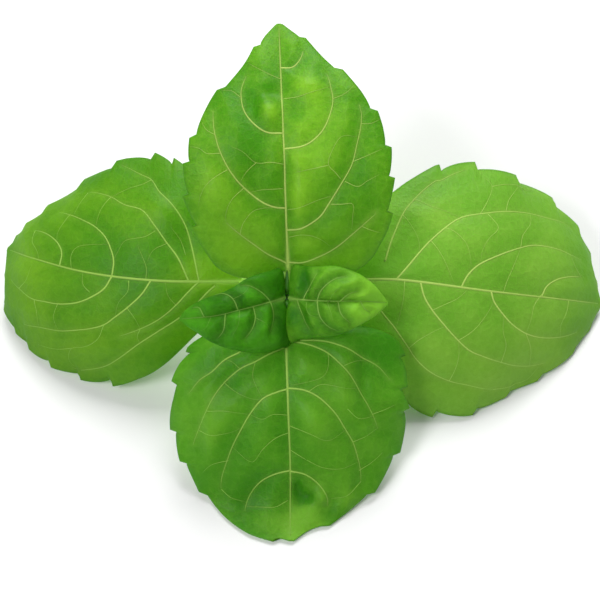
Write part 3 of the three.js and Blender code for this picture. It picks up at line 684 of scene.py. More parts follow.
    def relief(self, y: np.ndarray, b: np.ndarray) -> tuple[np.ndarray, np.ndarray]:
        """How the blade puffs up between its veins.

        Away from the midrib and the side veins it rises as quilt (1 - exp(-(d / puff)^2)), away from
        the small veins by a pucker of the same form, and right at a main vein it sinks in a groove.
        Swells come on top. All of it dies out at the margin, the base and the tip.

        Args:
            y: places along the blade.
            b: places across it.

        Returns:
            Heights in millimetres, and how close each place is to a main vein, from 0 to 1.
        """
        main = self.distance_to([self.midline, *self.side_veins], y, b)
        small = self.distance_to(self.small_veins, y, b)
        width = self.half_width(np.clip(y, 0, 1), b)
        height = self.quilt * (1 - np.exp(-((main / self.puff) ** 2))) - 0.12 * np.exp(-((main / 0.5) ** 2))
        height = height + self.pucker * (1 - np.exp(-((small / 1.2) ** 2))) * smooth(main / 2.5)
        height = height + 1.5 * self.sum_swells(self.swells, y, b)
        edge = (1 - np.abs(b) ** 6) * smooth(y / 0.08) * smooth((1 - y) / 0.1) * np.minimum(1, width / 6)
        return height * edge, np.exp(-((main / 0.8) ** 2))

    def faces(self, y: np.ndarray, b: np.ndarray) -> tuple[np.ndarray, np.ndarray, np.ndarray]:
        """The blade's lower and upper faces in the part and its outward normal there.

        Where the blade would pass through the surface that it lies on, its height z above it is
        softened to (z + sqrt(z^2 + s^2)) / 2, which also turns the normal upright.

        Args:
            y: places along the blade.
            b: places across it.

        Returns:
            Lower points, upper points and normals, in millimetres in the part's frame.
        """
        normal = self.normal(y, b)
        lift, _ = self.relief(y, b)
        place = FACE.to_part(self.middle(y, b) + normal * (lift * 0.95)[..., None])
        normal = FACE.to_part(normal) - FACE.node
        half = 0.5 * self.blade
        z = place[..., 2] - half
        root = np.sqrt(z**2 + REST_SOFTNESS**2)
        place[..., 2] = 0.5 * (z + root) + half
        normal = unit(normal * np.stack([0.5 + 0.5 * z / root] * 2 + [np.ones_like(z)], -1))
        rim = half * np.sqrt(np.clip((1.012 - np.abs(b)) / 0.05, 0.12, 1))[..., None]
        lower, upper = place - normal * rim, place + normal * rim
        lower[..., 2] = np.maximum(lower[..., 2], 0.0)
        return lower, upper, normal

    def rows(self) -> tuple[np.ndarray, np.ndarray]:
        """The y of every ring on the left and the right side, with the tips and notches of both among them."""
        coarse = [side.ring_places(17) for side in self.sides]
        margins = [side.half_width(places) for side, places in zip(self.sides, coarse)]
        length = self.path.length - self.petiole
        index = [0.0]
        for k in range(len(coarse[0]) - 1):
            gap = 0.5 * sum(
                math.hypot(length * (places[k + 1] - places[k]), widths[k + 1] - widths[k])
                for places, widths in zip(coarse, margins)
            )
            index += list(k + np.linspace(0, 1, max(1, round(gap / self.spacing)) + 1)[1:])
        known = np.arange(len(coarse[0]))
        return np.interp(index, known, coarse[0]), np.interp(index, known, coarse[1])

    def across_places(self) -> np.ndarray:
        """Places across the blade, closer together near the midrib and at the rounded margin."""
        t = np.linspace(0, 1, self.across_count)
        half = 0.92 * t + 0.08 * np.sin(np.pi * t / 2)
        half = np.r_[half[:-1] * 0.985, 0.993, 1.0]
        return np.r_[-half[:0:-1], half]

    def add_blade(self, shell: Shell) -> None:
        """Lofts the stalk and the blade as closed rings: the upper face from left to right, the lower one back.

        Args:
            shell: receives the body.
        """
        across = self.across_places()
        left, right = self.rows()
        middle = 0.5 * (left + right)
        weight = np.abs(across) ** 1.5
        y = middle[:, None] + (np.where(across > 0, right[:, None], left[:, None]) - middle[:, None]) * weight
        b = np.broadcast_to(across, y.shape)
        lower, upper, _ = self.faces(y, b)
        height, closeness = self.relief(y, b)
        origin, _, side, out = self.frame_at(middle)
        flat = self.flat_place(y, b)
        midrib = RIDGE * (1 - 0.75 * middle[:, None]) * np.exp(-((flat[..., 0] / RIDGE_REACH) ** 2))
        lower = lower - (FACE.to_part(out) - FACE.node)[:, None] * midrib[..., None]
        lower[..., 2] = np.maximum(lower[..., 2], 0.0)

        left_side, right_side = self.sides
        width = np.maximum(left_side.half_width(left), right_side.half_width(right))
        round_part = np.where(middle > 0.5, 0.0, 1 - smooth((width - self.stalk) / 4))[:, None, None]
        turn = np.pi * (1 - (np.arange(len(across)) + 0.5) / len(across))
        cosine, sine = np.cos(turn)[:, None], np.sin(turn)[:, None]

        def stalk_ring(centre: np.ndarray, radius: np.ndarray) -> tuple[np.ndarray, np.ndarray]:
            """Upper and lower halves of round rings about centres."""
            rim = centre[:, None] + side_at[:, None] * cosine * radius[:, None, None]
            lift = out_at[:, None] * sine * radius[:, None, None]
            return FACE.to_part(rim + lift), FACE.to_part(rim - lift)

        side_at, out_at = side, out
        high, low = stalk_ring(origin, np.full(len(middle), self.stalk))
        upper = upper * (1 - round_part) + high * round_part
        lower = lower * (1 - round_part) + low * round_part

        start = -self.petiole / (self.path.length - self.petiole)
        stalk_y = np.linspace(start, 0, 14)[:-1]
        centre, _, side_at, out_at = self.frame_at(stalk_y)
        high, low = stalk_ring(centre, np.full(len(stalk_y), self.stalk))
        t = np.linspace(0, 1, 7)[:-1]
        anchor = np.array(self.anchor)
        base = anchor + (centre[0] - anchor) * t[:, None]
        side_at, out_at = np.repeat(side_at[:1], 6, 0), np.repeat(out_at[:1], 6, 0)
        root_high, root_low = stalk_ring(base, self.stalk * (1 + 0.35 * (1 - t) ** 2))

        upper = np.concatenate([root_high, high, upper])
        lower = np.concatenate([root_low, low, lower])
        extra = len(upper) - len(y)
        pad = np.concatenate([np.linspace(2 * start, start, 6), stalk_y])[:, None] * np.ones(len(across))
        rows_y = np.concatenate([pad, y])
        places = self.flat_place(rows_y, np.broadcast_to(across, rows_y.shape))
        size = rows_y.shape
        # Painted shading: raised quilted panels come out lighter and the grooves by the veins and hollows darker, and
        # the spots add painted shade in folds and dents, highlights on bulges and lighter tips.
        tone = np.zeros(size)
        tone[extra:] = height / 3 + self.sum_swells(self.tint_and_painted_shading_spots, y, b)
        halo = np.zeros(size)
        halo[extra:] = closeness * (1 - 0.6 * y)
        stalkness = np.zeros(size)
        stalkness[:extra] = 1.0
        stalkness[extra:] = np.exp(-((flat[..., 0] / 0.6) ** 2)) * (1 - smooth(y / 0.25))
        margin = np.zeros(size)
        margin[extra:] = smooth((np.abs(b) - 0.965) / 0.03)
        rings = np.concatenate([upper, lower[:, ::-1]], axis=1)

        def both(value: np.ndarray) -> np.ndarray:
            """A value of the upper face, repeated for the lower one."""
            return np.concatenate([value, value[:, ::-1]], axis=1)

        under = np.concatenate([np.zeros(size), np.ones(size)], axis=1)
        shell.loft(
            rings[:, ::-1],
            both(places)[:, ::-1],
            vein=both(stalkness)[:, ::-1],
            tone=both(tone)[:, ::-1],
            halo=both(halo)[:, ::-1],
            margin=both(margin)[:, ::-1],
            under=under[:, ::-1],
        )

    def add_strand(
        self, shell: Shell, line: np.ndarray, width: np.ndarray, lift: float, below: bool, pale: float = 1.0
    ) -> None:
        """Lays one vein on the blade as a low closed arch whose edges sink into the face.

        Args:
            shell: receives the body.
            line: (y, b) points along the vein.
            width: the vein's width at its start and its end, in millimetres.
            lift: how high it stands, as a part of its width.
            below: True puts it on the lower face.
            pale: how much paler than the blade it is, from 0 to 1.
        """
        lower, upper, normal = self.faces(line[:, 0], line[:, 1])
        face, out = (lower, -normal) if below else (upper, normal)
        run = np.r_[0, np.cumsum(np.linalg.norm(np.diff(face, axis=0), axis=1))]
        number = int(np.clip(run[-1] / 0.6, 3, 90))
        even = np.linspace(0, run[-1], number)
        face = np.stack([np.interp(even, run, face[:, k]) for k in range(3)], -1)
        out = unit(np.stack([np.interp(even, run, out[:, k]) for k in range(3)], -1))
        place = self.flat_place(line[:, 0], line[:, 1])
        place = np.stack([np.interp(even, run, place[:, k]) for k in range(2)], -1)
        along = unit(np.gradient(face, axis=0))
        side = unit(np.cross(along, out))
        t = even / max(run[-1], 1e-9)
        half = 0.5 * (width[0] + (width[1] - width[0]) * t) * (1 - 0.5 * smooth((t - 0.9) / 0.1))
        offset = np.array([-1.0, -0.55, 0.0, 0.55, 1.0])[:, None]
        height = np.array([0.0, 0.75, 1.0, 0.75, 0.0])[:, None] * lift * 2
        rings = face[:, None] + half[:, None, None] * (side[:, None] * offset + out[:, None] * height)
        rings = rings + out[:, None] * np.array([-0.07, 0.03, 0.035, 0.03, -0.07])[:, None]
        rings[..., 2] = np.maximum(rings[..., 2], 0.0)
        shape = rings.shape[:2]
        strength = np.broadcast_to(np.array([0.35, 0.85, 1.0, 0.85, 0.35]), shape)
        fading = pale * (1 - 0.45 * t)[:, None]
        shell.loft(
            rings,
            np.repeat(place[:, None], 5, axis=1),
            vein=strength * fading,
            tone=np.zeros(shape),
            halo=np.zeros(shape),
            margin=np.zeros(shape),
            under=np.full(shape, float(below)),
        )

    def build(self) -> bpy.types.Object:
        """Builds the leaf's piece: blade and stalk, midrib, side veins and the net on both faces.

        Returns:
            The finished object, which stands for the CAD node of the same name.
        """
        shell = Shell()
        self.add_blade(shell)
        full = self.vein_width
        midrib = np.stack([np.linspace(0.004, 0.98, 160), np.zeros(160)], -1)
        self.add_strand(shell, midrib, np.array([2.7, 1.1]) * full, 0.12, False)
        for below in (False, True):
            for line in self.side_veins:
                self.add_strand(shell, line, np.array([1.5, 0.7]) * full, 0.4 if below else 0.12, below)
            for line in self.small_veins:
                self.add_strand(shell, line, np.array([0.52, 0.36]) * full, 0.3 if below else 0.1, below, 0.85)
        piece = shell.to_object(f"{self.name}_blade", self.finish.material())
        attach(piece, "root")
        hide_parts(self.name)
        log.info("%s: %d points, %d veins", piece.name, shell.count, len(self.side_veins) + len(self.small_veins))
        return piece


class Socket:
    """A shader value: arithmetic on it adds Math nodes to its material."""

    def __init__(self, nodes: Nodes, output: bpy.types.NodeSocket) -> None:
        """Wraps an output socket of a node."""
        self.nodes = nodes
        self.output = output

    def math(self, operation: str, *others: Socket | float) -> Socket:
        """This value and others through one Math node."""
        return self.nodes.add("ShaderNodeMath", {"operation": operation}, [self, *others])

    def __add__(self, other: Socket | float) -> Socket:
        """Sum."""
        return self.math("ADD", other)

    def __sub__(self, other: Socket | float) -> Socket:
        """Difference."""
        return self.math("SUBTRACT", other)

    def __rsub__(self, other: float) -> Socket:
        """Difference from a number."""
        return self.nodes.add("ShaderNodeMath", {"operation": "SUBTRACT"}, [other, self])

    def __mul__(self, other: Socket | float) -> Socket:
        """Product."""
        return self.math("MULTIPLY", other)

    __radd__ = __add__
    __rmul__ = __mul__


class Nodes:
    """Adds nodes to one material's tree."""

    def __init__(self, name: str) -> None:
        """Makes an empty node material."""
        self.material = bpy.data.materials.new(name)
        self.material.use_nodes = True
        self.tree = self.material.node_tree
        self.tree.nodes.clear()

    def node(self, kind: str, settings: dict, inputs: list | dict) -> bpy.types.Node:
        """Adds a node, its settings first and then its inputs.

        Args:
            kind: the node's type.
            settings: its properties; "stops" gives a colour ramp's places and colours.
            inputs: values or links by input name or number, or in order.

        Returns:
            The node.
        """
        node = self.tree.nodes.new(kind)
        for key, value in settings.items():
            if key == "stops":
                ramp = node.color_ramp
                while len(ramp.elements) < len(value):
                    ramp.elements.new(0.5)
                for element, (position, colour) in zip(ramp.elements, value):
                    element.position, element.color = position, colour
            else:
                setattr(node, key, value)
        pairs = inputs.items() if isinstance(inputs, dict) else enumerate(inputs)
        for key, value in pairs:
            if isinstance(value, Socket):
                self.tree.links.new(value.output, node.inputs[key])
            else:
                node.inputs[key].default_value = value
        return node

    def add(self, kind: str, settings: dict, inputs: list | dict, output: str | int = 0) -> Socket:
        """Adds a node and wraps one of its outputs."""
        return Socket(self, self.node(kind, settings, inputs).outputs[output])

    def attribute(self, name: str) -> Socket:
        """A point value of the mesh."""
        return self.add("ShaderNodeAttribute", {"attribute_name": name}, {}, "Fac")

    def mix(self, factor: Socket | float, first: tuple | Socket, second: tuple | Socket, blend: str = "MIX") -> Socket:
        """A colour between two colours."""
        settings = {"data_type": "RGBA", "blend_type": blend, "clamp_factor": True}
        return self.add("ShaderNodeMix", settings, {0: factor, 6: first, 7: second}, 2)

    def ramp(self, value: Socket, low: float, high: float, start: float = 0.0, end: float = 1.0) -> Socket:
        """A value held between low and high and spread smoothly over start to end."""
        settings = {"interpolation_type": "SMOOTHSTEP"}
        return self.add("ShaderNodeMapRange", settings, {0: value, 1: low, 2: high, 3: start, 4: end})

    def noise(self, place: Socket, scale: float, detail: float = 3.0, roughness: float = 0.55) -> Socket:
        """A noise pattern with scale in cycles per unit of place."""
        inputs = {"Vector": place, "Scale": scale, "Detail": detail, "Roughness": roughness}
        return self.add("ShaderNodeTexNoise", {}, inputs)

    def finish(self, shader: Socket) -> bpy.types.Material:
        """Sends a shader to the output and returns the material."""
        self.node("ShaderNodeOutputMaterial", {}, [shader])
        return self.material


@dataclass(frozen=True)
class LeafFinish:
    """Green leaf: two greens in soft patches with painted shading and tints from its point values, a net of tiny
    veins, pale main veins and a matt pale underside.
    """

    name: str
    slot: str
    deep: tuple[float, float, float, float]
    bright: tuple[float, float, float, float]
    vein: tuple[float, float, float, float] = (0.62, 0.93, 0.17, 1)
    margin: tuple[float, float, float, float] = (0.07, 0.20, 0.015, 1)
    under: tuple[float, float, float, float] = (0.24, 0.44, 0.10, 1)
    roughness: float = 0.46
    specular: float = 0.24
    coat: float = 0.0
    glow: tuple[float, float, float, float] = (0.45, 1.0, 0.02, 1)
    see_through: float = 0.34

    def net(self, nodes: Nodes) -> tuple[Socket, Socket]:
        """The net of tiny veins, from two sizes of cells on the leaf laid flat.

        Args:
            nodes: the material's nodes.

        Returns:
            How strongly a place lies on the net, and how high it lies inside its cell.
        """
        flat = nodes.add("ShaderNodeUVMap", {"uv_map": "leaf_mm"}, {})
        wobble = nodes.add("ShaderNodeTexNoise", {}, {"Vector": flat, "Scale": 0.8, "Detail": 2.0}, "Color")
        shift = nodes.add("ShaderNodeVectorMath", {"operation": "MULTIPLY_ADD"}, [wobble, (0.9, 0.9, 0.0), flat])
        settings = {"feature": "DISTANCE_TO_EDGE", "voronoi_dimensions": "2D"}
        coarse = nodes.add("ShaderNodeTexVoronoi", settings, {"Vector": shift, "Scale": 0.5})
        fine = nodes.add("ShaderNodeTexVoronoi", settings, {"Vector": shift, "Scale": 1.5})
        lines = nodes.ramp(coarse, 0.0, 0.075, 1.0, 0.0) * 0.6 + nodes.ramp(fine, 0.0, 0.12, 1.0, 0.0) * 0.3
        height = nodes.ramp(coarse, 0.0, 0.35) * 0.8 + nodes.ramp(fine, 0.0, 0.3) * 0.35
        return lines, height

    def material(self) -> bpy.types.Material:
        """Builds the shader.

        Returns:
            The material, which reads the leaf's point values, its UV map and Object coordinates.
        """
        nodes = Nodes(self.name)
        place = nodes.add("ShaderNodeTexCoord", {}, {}, "Object")
        vein, tone, halo = (nodes.attribute(label) for label in ("vein", "tone", "halo"))
        margin, under = nodes.attribute("margin"), nodes.attribute("under")
        lines, cells = self.net(nodes)
        patches = nodes.ramp(nodes.noise(place, 60.0, 2.0), 0.3, 0.7)
        mottle = nodes.noise(place, 700.0, 6.0, 0.8)
        # Painted shading: the tone value makes the blade lighter where it is high and, below -0.3, much darker for the
        # painted shade in folds and dents.
        lightness = patches * 0.2 + nodes.ramp(tone, -0.3, 1.2) * 0.45 + mottle * 0.5
        lightness = lightness - nodes.ramp(tone, -1.2, -0.3, 0.3, 0.0)
        blade = nodes.mix(nodes.ramp(lightness, 0.2, 0.9), self.deep, self.bright)
        blade = nodes.mix(lines * 0.08 + halo * 0.12, blade, self.vein)
        blade = nodes.mix(margin * 0.55, blade, self.margin)
        blade = nodes.mix(under * 0.85, blade, self.under)
        colour = nodes.mix(nodes.ramp(vein, 0.0, 1.0, 0.0, 0.85), blade, self.vein)
        relief = cells + mottle * 0.5
        bump = nodes.add("ShaderNodeBump", {}, {"Strength": 0.4, "Distance": 0.0001, "Height": relief}, "Normal")
        rough = nodes.ramp(mottle, 0.3, 0.7, self.roughness - 0.05, self.roughness + 0.08) + under * 0.2
        body = nodes.add(
            "ShaderNodeBsdfPrincipled",
            {},
            {
                "Base Color": colour,
                "Roughness": rough,
                "Normal": bump,
                "Specular IOR Level": self.specular,
                "Coat Weight": self.coat,
                "Coat Roughness": 0.35,
            },
        )
        glow = nodes.add("ShaderNodeBsdfTranslucent", {}, {"Color": self.glow, "Normal": bump})
        return nodes.finish(nodes.add("ShaderNodeMixShader", {}, [self.see_through, body, glow]))


@dataclass(frozen=True)
class StemFinish:
    """Pale green stem with fine lengthwise streaks, a paler cut face, short clear hairs and a dark green bud, its
    darkness partly painted shade.
    """

    slot: str = "stem"
    # The bud's deep green is partly its own colour and partly painted shade for the deep seam between the young leaves
    # where it sits.
    bud: tuple[float, float, float, float] = (0.045, 0.2, 0.008, 1)
    deep: tuple[float, float, float, float] = (0.13, 0.28, 0.03, 1)
    bright: tuple[float, float, float, float] = (0.28, 0.46, 0.09, 1)
    cut: tuple[float, float, float, float] = (0.52, 0.62, 0.28, 1)

    def material(self) -> bpy.types.Material:
        """Builds the shader.

        Returns:
            The material, which reads the stem's UV map and its point values.
        """
        nodes = Nodes("stem_finish")
        lengthwise = nodes.add("ShaderNodeUVMap", {"uv_map": "leaf_mm"}, {})
        stretched = nodes.add(
            "ShaderNodeMapping", {"vector_type": "POINT"}, {"Vector": lengthwise, "Scale": (2.2, 0.12, 1.0)}
        )
        streaks = nodes.noise(stretched, 3.0, 4.0, 0.6)
        place = nodes.add("ShaderNodeTexCoord", {}, {}, "Object")
        mottle = nodes.noise(place, 260.0, 3.0)
        colour = nodes.mix(nodes.ramp(streaks * 0.7 + mottle * 0.3, 0.32, 0.68), self.deep, self.bright)
        colour = nodes.mix(nodes.attribute("vein"), colour, self.cut)
        colour = nodes.mix(nodes.attribute("leafy"), colour, self.bud)
        bump = nodes.add(
            "ShaderNodeBump", {}, {"Strength": 0.4, "Distance": 0.0002, "Height": streaks + mottle * 0.3}, "Normal"
        )
        body = nodes.add(
            "ShaderNodeBsdfPrincipled",
            {},
            {"Base Color": colour, "Roughness": 0.46, "Normal": bump, "Specular IOR Level": 0.3},
        )
        return nodes.finish(body)


@dataclass
class Stem:
    """The bent, squarish stem with swollen nodes, a bud at its tip, a cut end and short hairs."""

    finish: StemFinish = StemFinish()
    line: tuple[tuple[Triple, float], ...] = (
        ((0, 0, 29), 0.25),
        ((0, 0.3, 28.6), 0.95),
        ((0, 0.9, 27.4), 1.35),
        ((0, 2.2, 25.7), 1.35),
        ((0, 5.6, 22.4), 1.45),
        ((0, 8.1, 20.1), 1.75),
        ((0, 10.2, 17.9), 1.6),
        ((0, 14.8, 13), 1.65),
        ((0, 21, 7.4), 1.75),
        ((0, 29, 3.6), 1.85),
        ((0, 40, 1.95), 2.0),
        ((0, 54, 1.95), 2.15),
    )
    rings: int = 170
    points_round: int = 48
    hairs: int = 420
    hair_length: float = 0.55
    seed: int = 5

    def __post_init__(self) -> None:
        """Prepares the centre line, with the half-thickness carried as its fourth number."""
        rows = np.array([[*point, size] for point, size in self.line], float)
        centre = Path(rows[:, :3])
        run = np.r_[0, np.cumsum(np.linalg.norm(np.diff(rows[:, :3], axis=0), axis=1))]
        self.centre = centre
        self.size_places, self.sizes = run / run[-1], rows[:, 3]

    def surface(self, t: np.ndarray, turn: np.ndarray) -> tuple[np.ndarray, np.ndarray]:
        """Points and outward directions of the stem.

        The section's radius is r (1 - 0.07 cos 4w + 0.015 cos 12w): squarish with fine ribs.

        Args:
            t: parts of the stem's length, from the bud to the cut.
            turn: angles round it.

        Returns:
            Points in millimetres in the part's frame, and unit directions away from the centre line.
        """
        centre, along = self.centre.at(t), self.centre.along(t)
        across = np.zeros_like(centre)
        across[..., 0] = 1.0
        out = unit(np.cross(across, along))
        radius = np.interp(t, self.size_places, self.sizes)
        radius = radius * (1 - 0.07 * np.cos(4 * turn) + 0.015 * np.cos(12 * turn))
        away = across * np.cos(turn)[..., None] + out * np.sin(turn)[..., None]
        points = centre + away * radius[..., None] - np.array([*FACE.centre, 0.0])
        points[..., 2] = np.maximum(points[..., 2], 0.0)
        return points, away

    def add_axis(self, shell: Shell) -> None:
        """Lofts the stem itself, with a slightly hollow, pale cut face."""
        t = np.linspace(0, 1, self.rings) ** 1.15
        turn = np.linspace(0, 2 * np.pi, self.points_round, endpoint=False)
        grid_t, grid_turn = np.broadcast_arrays(t[:, None], turn[None, :])
        points, _ = self.surface(grid_t, grid_turn)
        inner = points[-1:].mean(1, keepdims=True)
        ends = [inner + (points[-1:] - inner) * part for part in (0.94, 0.6, 0.25)]
        depth = np.array([0.02, -0.12, -0.16])
        ends = [end + np.array([0.0, 1.0, 0.0]) * d for end, d in zip(ends, depth)]
        rings = np.concatenate([points, *ends])
        shape = rings.shape[:2]
        run = np.r_[t * self.centre.length, np.full(3, self.centre.length)]
        uv = np.stack(np.broadcast_arrays(2.0 * turn[None, :], run[:, None]), -1)
        pale = np.zeros(shape)
        pale[-3:] = 0.85
        shell.loft(rings[:, ::-1], uv[:, ::-1], vein=pale, leafy=np.zeros(shape))

    def add_hairs(self, shell: Shell) -> None:
        """Adds short three-sided hairs that lean towards the bud, each rooted below the skin."""
        rng = np.random.default_rng(self.seed)
        t, turn = rng.uniform(0.12, 0.97, self.hairs), rng.uniform(0, 2 * np.pi, self.hairs)
        root, away = self.surface(t, turn)
        lean = unit(away - 0.5 * self.centre.along(t) + rng.normal(0, 0.2, (self.hairs, 3)))
        length = self.hair_length * rng.uniform(0.5, 1.0, self.hairs)[:, None]
        side = unit(np.cross(lean, np.array([0.3, 0.5, 0.8])))
        other = np.cross(lean, side)
        corners = np.arange(3) * 2 * np.pi / 3
        for i in range(self.hairs):
            base = root[i] - away[i] * 0.1
            spokes = side[i] * np.cos(corners)[:, None] + other[i] * np.sin(corners)[:, None]
            tip = base + lean[i] * length[i]
            ring = np.stack([base + spokes * 0.04, tip + spokes * 0.012])
            ring[..., 2] = np.maximum(ring[..., 2], 0.0)
            shell.loft(ring[:, ::-1], np.zeros((2, 3, 2)), vein=np.full((2, 3), 0.7), leafy=np.zeros((2, 3)))

    def add_bud(self, shell: Shell) -> None:
        """Adds the two small leaves of the bud, which rise from the stem's tip and bend up and down in the seam."""
        turn = np.linspace(0, 2 * np.pi, 14, endpoint=False)[None, :, None]
        places = np.linspace(0, 1, 26)
        for sign in (-1.0, 1.0):
            line = Path([(0, 0.2 * sign, 0.2), (0, 0.45 * sign, 2.2), (0, 1.5 * sign, 3.9), (0, 3.6 * sign, 3.5), (0, 5.8 * sign, 2.4)])
            centre, along = line.at(places)[:, None], line.along(places)[:, None]
            across = np.array([1.0, 0.0, 0.0])
            width = (0.52 * np.sin(np.pi * (0.1 + 0.88 * places)) ** 0.6)[:, None, None]
            rings = centre + width * (across * np.cos(turn) + 0.4 * np.cross(along, across) * np.sin(turn) * sign)
            rings = FACE.to_part(rings)
            shape = rings.shape[:2]
            shell.loft(rings, np.zeros((*shape, 2)), vein=np.zeros(shape), leafy=np.ones(shape))

    def build(self) -> bpy.types.Object:
        """Builds the stem's piece.

        Returns:
            The finished object, which stands for the CAD stem.
        """
        shell = Shell()
        self.add_axis(shell)
        self.add_hairs(shell)
        self.add_bud(shell)
        piece = shell.to_object("stem_axis", self.finish.material())
        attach(piece, "root")
        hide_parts("stem")
        log.info("%s: %d points", piece.name, shell.count)
        return piece


TOP = LeafFinish("top_finish", "leaf_dark", (0.045, 0.200, 0.003, 1), (0.335, 0.635, 0.030, 1), vein=(0.82, 1.0, 0.24, 1))
BOTTOM = LeafFinish(
    "bottom_finish", "leaf_dark", (0.042, 0.215, 0.006, 1), (0.220, 0.510, 0.034, 1), roughness=0.42, specular=0.2
)
LEFT = LeafFinish("left_finish", "leaf_light", (0.050, 0.175, 0.003, 1), (0.275, 0.500, 0.021, 1))
RIGHT = LeafFinish(
    "right_finish", "leaf_light", (0.170, 0.400, 0.030, 1), (0.430, 0.690, 0.090, 1), vein=(0.80, 1.0, 0.24, 1)
)
# Painted shade: the young left leaf's greens and veins are a darker copy of the young right leaf's.
YOUNG_LEFT_SHADED = LeafFinish(
    "young_left_shaded_finish",
    "leaf_young",
    (0.008, 0.070, 0.002, 1),
    (0.100, 0.420, 0.015, 1),
    vein=(0.38, 0.68, 0.12, 1),
    roughness=0.48,
    specular=0.12,
)
YOUNG_RIGHT = LeafFinish(
    "young_right_finish",
    "leaf_young",
    (0.020, 0.130, 0.004, 1),
    (0.300, 0.670, 0.045, 1),
    vein=(0.44, 0.74, 0.14, 1),
    roughness=0.48,
    specular=0.12,
)


